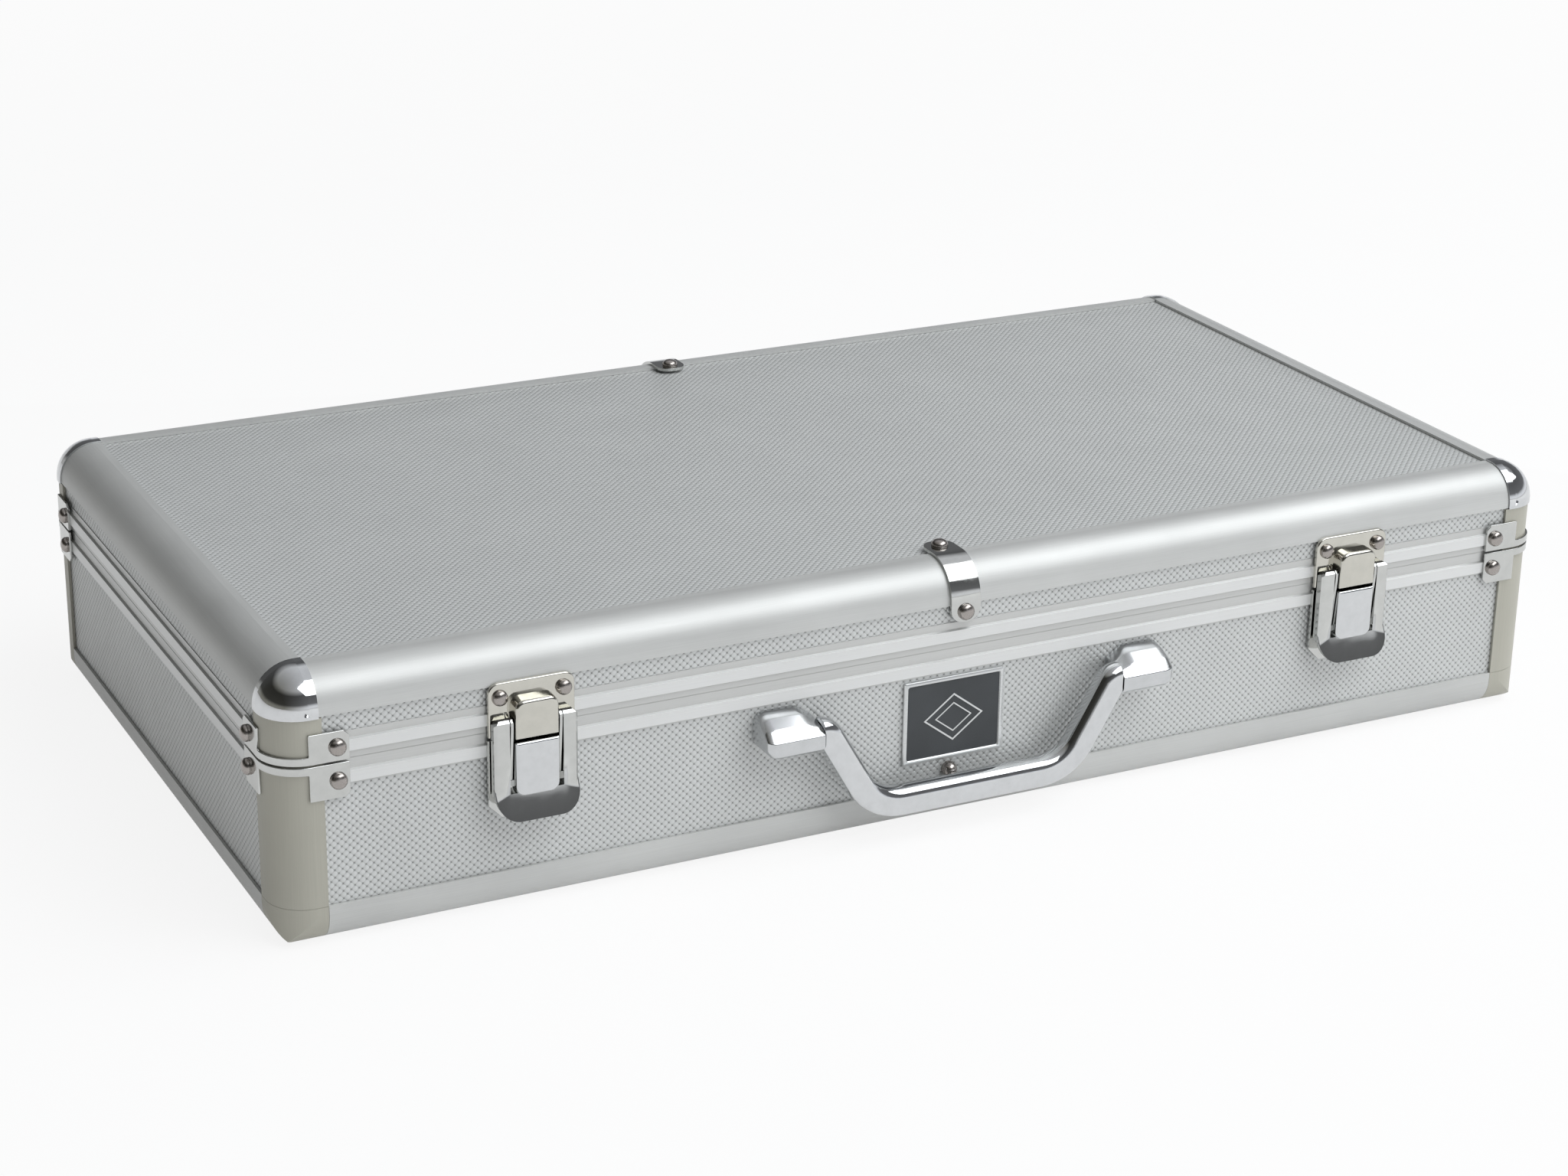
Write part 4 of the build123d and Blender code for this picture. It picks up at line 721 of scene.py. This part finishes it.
def make_badge():
    """Dark plate with a bare border and a plain lozenge ornament."""
    (low, high), = solids("badge_plate")
    bm = bmesh.new()
    centre = (low + high) / 2
    half = (high - low) / 2
    front, back = low.y, high.y
    field = front + BADGE_SUNK
    # inset, place in depth and corner radius
    rings = [(0.0, back, 0.5), (0.0, front + BADGE_CHAMFER, 0.5), (BADGE_CHAMFER, front, 0.7),
             (BADGE_BORDER - BADGE_STEP, front, 0.9), (BADGE_BORDER, field, 0.9)]
    sections = []
    for inset, y, corner in rings:
        outline = rounded_rectangle(2 * (half.x - inset), 2 * (half.z - inset), corner, BADGE_STEPS)
        sections.append([Vector((centre.x + u, y, centre.z + v)) for u, v in outline])
    loft(bm, sections).material_index = 1
    half_x, half_z = LOZENGE_HALF
    for scale, width in LOZENGES:
        lozenge(bm, centre, half_x * scale, half_z * scale, width, field, field - LOZENGE_RISE)
    finish_piece("badge", bm, "base", [BARE_BORDER, BLACK_ENAMEL], ["badge_plate"])


# --- latches ---
LATCH_PLACES = {"left": -171.6, "right": 171.6}
# heights, half width, and corner radii from low left round to high left
KEEPER_PLATE = ((67.8, 88.0), 16.1, (0.3, 0.3, 4.0, 4.0))
KEEPER_TONGUE = ((67.8, 82.25), 8.1, (0.4, 0.4, 3.6, 3.6))
CATCH_PLATE = ((46.3, 66.75), 8.2, (3.4, 3.4, 0.5, 0.5))
PLATE_STEPS = 6
PLATE_LEAST_R = 0.15
ROLL_STEPS = 5


def plate_rings(centre_x, span_z, half_w, radii, depths):
    """Rings of an upright plate on the front; depths holds the way out and the rim's inset."""
    low, high = span_z
    sections = []
    for out, draw in depths:
        w, a, b = half_w - draw, low + draw, high - draw
        own = [max(PLATE_LEAST_R, r - draw) for r in radii]
        outline = rounded_corners([(-w, a), (w, a), (w, b), (-w, b)], own, PLATE_STEPS)
        sections.append([Vector((centre_x + x, -CASE_HALF[1] - out, z)) for x, z in outline])
    return sections


def rolled(back, front, grow, size):
    """Depths of a plate from its back to a front edge that is rolled by size."""
    turns = [math.radians(90 * i / ROLL_STEPS) for i in range(ROLL_STEPS + 1)]
    return [(back, -grow)] + [(front - size * (1 - math.sin(a)), size * (1 - math.cos(a)))
                              for a in turns]


def make_keepers():
    """Keeper plates on the lid, each with its raised tongue."""
    bm = bmesh.new()
    for x in LATCH_PLACES.values():
        loft(bm, plate_rings(x, *KEEPER_PLATE, rolled(back=0.0, front=1.5, grow=0.0, size=0.6)))
        loft(bm, plate_rings(x, *KEEPER_TONGUE, rolled(back=1.3, front=6.9, grow=0.35, size=1.3)))
    finish_piece("keeper_plates", bm, "lid", [CHROME_WARM], ["latch_keepers"])


def make_hooks():
    """The levers' catch plates, which hang below the tongues."""
    for side, x in LATCH_PLACES.items():
        bm = bmesh.new()
        loft(bm, plate_rings(x, *CATCH_PLATE, rolled(back=3.0, front=6.9, grow=0.0, size=1.1)))
        finish_piece(f"{side}_catch", bm, f"{side}_latch", [CHROME_SMOOTH],
                     [f"{side}_latch_hook"])


# --- seam ---
SEAM_LIP = (69.14, 69.44)  # heights of the strip that closes the seam from behind
SEAM_LIP_BACK = 0.12  # how far it stands behind the flats
SEAM_LIP_DEEP = 0.8
SEAM_LIP_ROUND = 0.08
FRAME_FLAT_BACK = 0.9  # flats of the closing frame behind its raised rails
SEAM_HALF = (247.0, 121.5)  # half lengths of the strips along the front and the sides


def make_seam_lip():
    """Thin strips along the base's rim, which keep the seam from showing as a black line."""
    bm = bmesh.new()
    low, high = SEAM_LIP
    half_x, half_y = (half - FRAME_FLAT_BACK - SEAM_LIP_BACK for half in CASE_HALF)
    for side in (-1, 1):
        for axis in (0, 1):
            reach = (half_y, half_x)[axis]
            long = SEAM_HALF[axis]
            near, far = sorted((side * reach, side * (reach - SEAM_LIP_DEEP)))
            a, b = Vector((-long, near, low)), Vector((long, far, high))
            if axis:
                a, b = Vector((near, -long, low)), Vector((far, long, high))
            rounded_box(bm, a, b, SEAM_LIP_ROUND, 1)
    finish_piece("seam_strip", bm, "base", [FRAME_X])


# --- foam ---
FOAM_FLAT = math.radians(0.5)  # faces that meet at less are one face
FOAM_SHARP = 0.5  # radians from which an edge is rounded
FOAM_ROUND = 1.3
FOAM_WELD = 1e-3


def make_foam_bed():
    """The foam block with its pockets, its edges rounded."""
    bm = bmesh.new()
    bm.from_mesh(NODES["foam_insert"].data)
    bmesh.ops.scale(bm, vec=(1 / MM,) * 3, verts=bm.verts)
    bmesh.ops.remove_doubles(bm, verts=bm.verts, dist=FOAM_WELD)
    bmesh.ops.dissolve_limit(bm, angle_limit=FOAM_FLAT, verts=bm.verts, edges=bm.edges)
    sharp = [e for e in bm.edges if e.is_manifold and e.calc_face_angle(0.0) > FOAM_SHARP]
    bmesh.ops.bevel(bm, geom=sharp, offset=FOAM_ROUND, segments=4, profile=0.5, affect="EDGES",
                    clamp_overlap=True)
    made = finish_piece("foam_bed", bm, "base", [FOAM], ["foam_insert"])


PAD_STEP = 3.0  # of the mesh
PAD_EGG = 26.0  # from one wave's crest to the next
PAD_RELIEF = 7.0
PAD_INSET = 0.6  # of the wavy side, from the solid's outline
PAD_FOOT = 0.3  # from the solid's underside to the lowest point of a wave
PAD_PLAIN, PAD_FADE = 2.0, 12.0  # border without waves, and the width in which they begin
PAD_UNEVEN, PAD_UNEVEN_SCALE = 0.5, 0.03
PAD_ROLL = 3.0  # rounding along the border
PAD_SIDE_LOW = [(0.45, 9.0), (0.5, 14.0)]  # way out, and height above the solid's underside
PAD_SIDE_HIGH = [(0.3, 1.5), (-0.8, 0.1)]  # way out, and depth below its top
PAD_BORDER = 0.999  # share of the half size from which a point is on the outline


def pad_height(x, y, half, low):
    """Height of the pad's wavy side at a point."""
    edge = min(half.x - abs(x), half.y - abs(y))
    wave = math.sin(math.pi * x / (PAD_EGG / 2)) * math.sin(math.pi * y / (PAD_EGG / 2))
    fade = min(1.0, max(0.0, (edge - PAD_PLAIN) / PAD_FADE))
    fade = fade * fade * (3 - 2 * fade)
    uneven = PAD_UNEVEN * noise.noise(Vector((x, y, 0)) * PAD_UNEVEN_SCALE)
    z = low.z + PAD_FOOT + PAD_RELIEF * 0.5 * (1 + wave * fade) + uneven
    return z + PAD_ROLL * (1 - min(1.0, edge / PAD_ROLL)) ** 2


def make_lid_pad():
    """Convoluted foam: flat against the lid, egg-crate waves towards the pieces."""
    (low, high), = solids("lid_pad")
    bm = bmesh.new()
    half = Vector((high.x - PAD_INSET, high.y - PAD_INSET))
    columns, rows = int(2 * half.x / PAD_STEP), int(2 * half.y / PAD_STEP)
    grid = []
    for j in range(rows + 1):
        line = []
        for i in range(columns + 1):
            x = -half.x + 2 * half.x * i / columns
            y = -half.y + 2 * half.y * j / rows
            line.append(bm.verts.new((x, y, pad_height(x, y, half, low))))
        grid.append(line)
    for j in range(rows):
        for i in range(columns):
            bm.faces.new((grid[j][i], grid[j + 1][i], grid[j + 1][i + 1], grid[j][i + 1]))
    rim = (grid[0] + [line[-1] for line in grid[1:]] + grid[-1][-2::-1]
           + [line[0] for line in grid[-2:0:-1]])
    last = rim
    sides = [(grow, low.z + up) for grow, up in PAD_SIDE_LOW]
    sides += [(grow, high.z - down) for grow, down in PAD_SIDE_HIGH]
    for grow, z in sides:
        ring = []
        for v in rim:
            shares = (v.co.x / half.x, v.co.y / half.y)
            dx, dy = (grow * (1 if s > PAD_BORDER else -1 if s < -PAD_BORDER else 0)
                      for s in shares)
            ring.append(bm.verts.new((v.co.x + dx, v.co.y + dy, z)))
        band(bm, last, ring)
        last = ring
    bm.faces.new(last)
    made = finish_piece("lid_lining", bm, "lid", [PAD_FOAM], ["lid_pad"])


# --- tiles ---
TILE_SIZE = (22.0, 30.0, 15.0)
TILE_PITCH = (22.4, 30.4)
TILE_ROUND = 1.6
TILE_SEAM = 5.2  # height at which the green back meets the ivory face
TILE_LEAN = 0.35  # degrees that a tile may be turned
TRAYS = 4
TILES_IN_ROW, TILES_IN_COLUMN = 5, 4
DOT_LAYOUTS = {
    1: [(0, 0)],
    2: [(0, 7), (0, -7)],
    3: [(-5, 8), (0, 0), (5, -8)],
    4: [(-4.6, 7), (4.6, 7), (-4.6, -7), (4.6, -7)],
    5: [(-4.8, 7.6), (4.8, 7.6), (0, 0), (-4.8, -7.6), (4.8, -7.6)],
    6: [(-4.4, 8.4), (4.4, 8.4), (-4.4, 0), (4.4, 0), (-4.4, -8.4), (4.4, -8.4)],
    8: [(x, y) for x in (-3.8, 3.8) for y in (-9.3, -3.1, 3.1, 9.3)],
    9: [(x, y) for x in (-6, 0, 6) for y in (-8.4, 0, 8.4)],
}
DOT_R = {1: 6.0, 2: 3.4, 3: 3.0, 4: 3.0, 5: 2.8, 6: 2.7, 8: 2.3, 9: 2.3}
DOT_HOLE, DOT_CORE = 0.72, 0.42  # shares of a dot's radius
CANE_LONG = {2: 8.0, 3: 8.0, 4: 5.6, 5: 5.6, 6: 5.6, 8: 4.6, 9: 4.6}
CANE_HALF = 0.95
CANE_GAP = 0.2  # from a cane's half to its end and to the knot
KNOT_HALF = (1.25, 0.4)
INK_H = 0.06  # how far the paint stands up
INK_FOOT = -0.02
INK_ROUND = 0.02
INK_BED = 0.01  # how far a design is let into its tile


def tile_stamp():
    """One tile lying face up: green back below, ivory face above."""
    def build(bm):
        w, l, t = TILE_SIZE
        rounded_box(bm, (-w / 2, -l / 2, 0), (w / 2, l / 2, t), TILE_ROUND, 3)
        bmesh.ops.bisect_plane(bm, geom=bm.verts[:] + bm.edges[:] + bm.faces[:],
                               plane_co=(0, 0, TILE_SEAM), plane_no=(0, 0, 1))
        for face in bm.faces:
            face.material_index = 1 if face.calc_center_median().z < TILE_SEAM else 0
    return stamp_mesh(build)


def dot_face(count):
    """Rings with a coloured middle, as a tile's circles."""
    def build(bm):
        radius = DOT_R[count]
        hole, core = radius * DOT_HOLE, radius * DOT_CORE
        for k, (x, y) in enumerate(DOT_LAYOUTS[count]):
            tone = 1 + (k + count) % 3
            at = Matrix.Translation((x, y, 0))
            turned_ring(bm, [(radius, INK_H), (hole, INK_H), (hole, 0.0), (radius, 0.0)], at, tone)
            lathe(bm, [(core, 0.0), (core, INK_H), (0.0, INK_H)], at, 16, 1 + (tone + 1) % 3)
    return stamp_mesh(build)


def bar_face(count):
    """Short canes with a knot in the middle, as a tile's bamboo."""
    def build(bm):
        long = CANE_LONG[count]
        knot_x, knot_y = KNOT_HALF
        for k, (x, y) in enumerate(DOT_LAYOUTS[count]):
            tone = 2 if (k + count) % 3 else 1
            for step in (-1, 1):
                middle = y + step * long / 4
                rounded_box(bm, (x - CANE_HALF, middle - long / 4 + CANE_GAP, INK_FOOT),
                            (x + CANE_HALF, middle + long / 4 - CANE_GAP, INK_H),
                            INK_ROUND, 1, tone)
            rounded_box(bm, (x - knot_x, y - knot_y, INK_FOOT), (x + knot_x, y + knot_y, INK_H),
                        INK_ROUND, 1, tone)
    return stamp_mesh(build)


def stamp_painted(bm, mesh, matrix):
    """Stamps a face design; its paints follow the tile's two plastics."""
    before = len(bm.faces)
    stamp(bm, mesh, matrix)
    bm.faces.ensure_lookup_table()
    for face in bm.faces[before:]:
        face.material_index += 1


def make_tiles():
    """The trays' tiles in two layers, the upper ones with a design on their face."""
    tile = tile_stamp()
    faces = [dot_face(n) for n in DOT_LAYOUTS] + [bar_face(n) for n in DOT_LAYOUTS if n > 1]
    order = random.Random(5)
    for tray in range(1, TRAYS + 1):
        node = f"tiles_{tray}"
        low, high = (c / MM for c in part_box(node))
        bm = bmesh.new()
        middle = (low + high) / 2
        for column in range(TILES_IN_ROW):
            for row in range(TILES_IN_COLUMN):
                x = middle.x + (column - (TILES_IN_ROW - 1) / 2) * TILE_PITCH[0]
                y = middle.y + (row - (TILES_IN_COLUMN - 1) / 2) * TILE_PITCH[1]
                for layer in (0, 1):
                    angle = math.radians(order.uniform(-TILE_LEAN, TILE_LEAN))
                    at = Matrix.Translation((x, y, low.z + layer * TILE_SIZE[2]))
                    stamp(bm, tile, at @ Matrix.Rotation(angle, 4, "Z"))
                turn = Matrix.Rotation(math.pi * order.randrange(2), 4, "Z")
                at = Matrix.Translation((x, y, high.z - INK_BED))
                stamp_painted(bm, order.choice(faces), at @ turn)
        # the paint's thickness is taken up, so that the whole stays within the CAD block
        bmesh.ops.scale(bm, vec=(1, 1, (high.z - low.z - INK_H) / (high.z - low.z)), verts=bm.verts,
                        space=Matrix.Translation((0, 0, -low.z)))
        finish_piece(f"tile_block_{tray}", bm, "base",
                     [IVORY, GREEN_BACK, PAINT_RED, PAINT_GREEN, PAINT_BLUE], [node])


# --- dice, sticks and wind marker ---
PIP_PLACES = {
    1: [(0, 0)], 2: [(-1, -1), (1, 1)], 3: [(-1, -1), (0, 0), (1, 1)],
    4: [(-1, -1), (1, 1), (-1, 1), (1, -1)], 5: [(-1, -1), (1, 1), (-1, 1), (1, -1), (0, 0)],
    6: [(-1, -1), (1, 1), (-1, 1), (1, -1), (-1, 0), (1, 0)],
}
DIE_SIDES = {1: (0, 0, 1), 6: (0, 0, -1), 2: (1, 0, 0), 5: (-1, 0, 0), 3: (0, 1, 0), 4: (0, -1, 0)}
DIE_INSET = 0.1  # from the CAD cube, which leaves room for the pips' paint
DIE_ROUND = 1.9
PIP_PITCH = 3.2
PIP_R, ONE_PIP_R = 1.25, 2.0
PIP_SIDES = 18


def make_dice():
    """Rounded dice with coloured pips."""
    bm = bmesh.new()
    order = random.Random(8)
    inset = Vector((DIE_INSET,) * 3)
    for low, high in solids("dice"):
        middle, size = (low + high) / 2, high.x - low.x
        rounded_box(bm, low + inset, high - inset, DIE_ROUND, 4)
        turn = Matrix.Rotation(math.pi / 2 * order.randrange(4), 4, order.choice("XYZ"))
        for count, normal in DIE_SIDES.items():
            face = turn @ Vector(normal).to_track_quat("Z", "Y").to_matrix().to_4x4()
            radius = ONE_PIP_R if count == 1 else PIP_R
            profile = [(radius, -0.3), (radius, 0.04), (radius * 0.8, 0.06), (0.0, 0.07)]
            for u, v in PIP_PLACES[count]:
                place = Matrix.Translation((u * PIP_PITCH, v * PIP_PITCH, size / 2 - DIE_INSET))
                lathe(bm, profile, Matrix.Translation(middle) @ face @ place, PIP_SIDES,
                      1 if count in (1, 4) else 2)
    finish_piece("dice_set", bm, "base", [IVORY, PAINT_RED, PAINT_BLUE], ["dice"])


STICK_LAYERS, STICKS_IN_LAYER = 2, 5
STICK_PITCH = (6.4, 3.0)  # sideways and up
STICK_X = (0.1, 5.9)
STICK_H = 2.85
STICK_ROUND = 0.9
SPOT_PITCH = 4.2
SPOT_PROFILE = [(1.1, 2.6), (1.1, 2.88), (0.8, 2.93), (0.0, 2.95)]
SPOT_SIDES = 16


def make_sticks():
    """Counting sticks: bone-coloured bars with coloured spots."""
    bm = bmesh.new()
    low, high = (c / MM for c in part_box("counting_sticks"))
    left, right = STICK_X
    for layer in range(STICK_LAYERS):
        for k in range(STICKS_IN_LAYER):
            x0 = low.x + STICK_PITCH[0] * k
            z0 = low.z + STICK_PITCH[1] * layer
            rounded_box(bm, (x0 + left, low.y, z0), (x0 + right, high.y, z0 + STICK_H),
                        STICK_ROUND, 3)
            for spot in range(k + 1):
                y = (low.y + high.y) / 2 + (spot - k / 2) * SPOT_PITCH
                at = Matrix.Translation((x0 + (left + right) / 2, y, z0))
                lathe(bm, SPOT_PROFILE, at, SPOT_SIDES, 1 + k % 3)
    finish_piece("count_sticks", bm, "base",
                 [BONE, PAINT_RED, PAINT_GREEN, PAINT_BLUE], ["counting_sticks"])


# way in from the rim and height from the foot, then way in and height from the top
MARKER_FOOT = [(1.0, 0.0), (0.3, 0.3), (0.0, 1.0)]
MARKER_TOP = [(0.0, -1.4), (0.4, -0.4), (1.4, 0.0), (2.6, 0.0), (3.2, -0.4), (3.4, -1.0)]
MARKER_RING = [(4.6, -1.02), (4.6, -0.9), (5.6, -0.9), (5.6, -1.02)]
MARKER_FLOOR = -1.0
MARKER_DOT = [(3.0, -1.02), (3.0, -0.9), (0.0, -0.86)]  # radius, and height from the top


def make_wind_marker():
    """Red turned marker with a sunken middle and an ivory inlay."""
    low, high = (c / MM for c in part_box("wind_marker"))
    centre = (low + high) / 2
    radius, height = (high.x - low.x) / 2, high.z - low.z
    bm = bmesh.new()
    at = Matrix.Translation((centre.x, centre.y, low.z))
    profile = [(radius - way, up) for way, up in MARKER_FOOT]
    profile += [(radius - way, height + up) for way, up in MARKER_TOP]
    lathe(bm, profile + [(0.0, height + MARKER_FLOOR)], at, 48)
    turned_ring(bm, [(radius - way, height + up) for way, up in MARKER_RING], at, 1, 40)
    lathe(bm, [(r, height + up) for r, up in MARKER_DOT], at, paint=1)
    finish_piece("wind_disc", bm, "base", [RED, IVORY], ["wind_marker"])


# CAD nodes whose edges are rounded: width and steps of the rounding
SOFTENED = [
    (["base_corner_clamps", "lid_corner_clamps", "top_straps"], 0.3, 2),
    (["latch_base_plates", "hinge_lower_leaves", "hinge_upper_leaves"], 0.25, 2),
    (["left_latch_lever", "right_latch_lever"], 0.6, 3),
    (["racks", "rack_pushers", "tile_trays", "accessory_tray"], 0.5, 2),
]
for names, width, steps in SOFTENED:
    for name in names:
        soften(name, width, steps)

make_domes("base_rivet_heads", "base_rivets", "base")
make_domes("lid_rivet_heads", "lid_rivets", "lid")
make_bail()
make_blocks()
make_domes("grip_bumper", "handle_bumper", "base")
make_feet()
make_badge()
make_seam_lip()
make_keepers()
make_hooks()
make_foam_bed()
make_lid_pad()
make_tiles()
make_dice()
make_sticks()
make_wind_marker()

# --- floor, light and camera ---
FLOOR_HALF = 12.0
FLOOR_CORNERS = ((-1, -1), (1, -1), (1, 1), (-1, 1))
FLOOR_PAPER = [(0.80, 0.80, 0.80), (0.84, 0.84, 0.84)]
FLOOR_WHITE = 0.87  # share of plain white that the camera sees near the case
FLOOR_FADE = (0.8, 2.4)  # distances over which that share grows to all of it
FLOOR_MIRRORED = 0.46  # share of plain white that metal and glass show


def make_floor():
    """Paper floor: it takes the case's shadow, and is white further away."""
    mesh = bpy.data.meshes.new("studio_floor")
    mesh.from_pydata([(sx * FLOOR_HALF, sy * FLOOR_HALF, 0) for sx, sy in FLOOR_CORNERS],
                     [], [(0, 1, 2, 3)])

    def build(t):
        place = t.place()
        paper = t.blend(t.noise(place, scale=0.02), *FLOOR_PAPER)
        grain = t.bump(t.noise(place, scale=0.5), 0.02, strength=0.3)
        matt = t.node("BsdfDiffuse", {"Color": paper, "Normal": grain})
        white = t.node("Emission", {"Color": (1, 1, 1), "Strength": 1.0})
        rays = t.node("LightPath").outputs
        mirrored = t.math("MAXIMUM", rays["Is Glossy Ray"], rays["Is Transmission Ray"])
        distance = t.vector("LENGTH", t.node("NewGeometry").outputs["Position"])
        share = t.spread(distance, *FLOOR_FADE, FLOOR_WHITE, 1.0)
        seen = t.math("MAXIMUM", t.math("MULTIPLY", rays["Is Camera Ray"], share),
                      t.math("MULTIPLY", mirrored, FLOOR_MIRRORED))
        mixed = t.node("MixShader", {0: seen, 1: matt.outputs[0], 2: white.outputs[0]})
        t.node("OutputMaterial", {"Surface": mixed.outputs[0]})

    mesh.materials.append(material("studio_paper", build))
    floor = add_object("studio_floor", mesh)


# height of the direction looked in, from level to straight up, and brightness
SKY_STOPS = [(0.0, 0.95), (0.09, 0.85), (0.20, 0.18), (0.60, 0.12), (0.78, 0.75), (1.0, 0.70)]
SKY_LEFT = (0.26, 0.255, 0.225)
SKY_RIGHT = (1.0, 1.02, 1.06)
SKY_SIDES = (-0.75, 0.35)  # the direction's x over which the left turns into the right


def make_world():
    """Studio surroundings by height: pale floor line, darker walls, bright ceiling panel."""
    world = bpy.data.worlds.new("studio")
    bpy.context.scene.world = world
    world.use_nodes = True
    t = Tree(world.node_tree)
    towards = t.split(t.node("TexCoord").outputs["Generated"])
    ramp = t.node("ValToRGB", {"Fac": t.math("MAXIMUM", towards[2], 0.0)})
    stops = ramp.color_ramp.elements
    while len(stops) < len(SKY_STOPS):
        stops.new(0.5)
    for stop, (position, level) in zip(stops, SKY_STOPS):
        stop.position = position
        stop.color = (level, level, level, 1.0)
    side = t.blend(t.spread(towards[0], *SKY_SIDES), SKY_LEFT, SKY_RIGHT)
    room = t.vector("MULTIPLY", ramp.outputs[0], side)
    colour = t.blend(t.node("LightPath").outputs["Is Camera Ray"], room, (1, 1, 1))
    background = t.node("Background", {"Color": colour, "Strength": 1.0})
    t.node("OutputWorld", {"Surface": background.outputs[0]})


SOFTBOX_AT, SOFTBOX_SIZE, SOFTBOX_COLOUR = (0.85, -0.9, 1.75), (2.6, 1.3), (0.96, 0.985, 1.0)
CASE_MIDDLE = (0.0, 0.0, 0.05)
# name, place, aim, size, watts, colour, and whether it shows in gloss
LAMPS = [
    ("softbox", SOFTBOX_AT, CASE_MIDDLE, SOFTBOX_SIZE, 31.0, SOFTBOX_COLOUR, True),
    ("overhead", SOFTBOX_AT, CASE_MIDDLE, SOFTBOX_SIZE, 22.0, SOFTBOX_COLOUR, False),
    ("fill", (1.6, -1.8, 0.9), (0.0, -0.05, 0.05), (1.4, 1.2), 17.0, (0.98, 0.99, 1.0), False),
]

make_floor()
make_world()
for lamp in LAMPS:
    make_lamp(*lamp)
make_camera()
bpy.context.scene.view_settings.view_transform = "Standard"
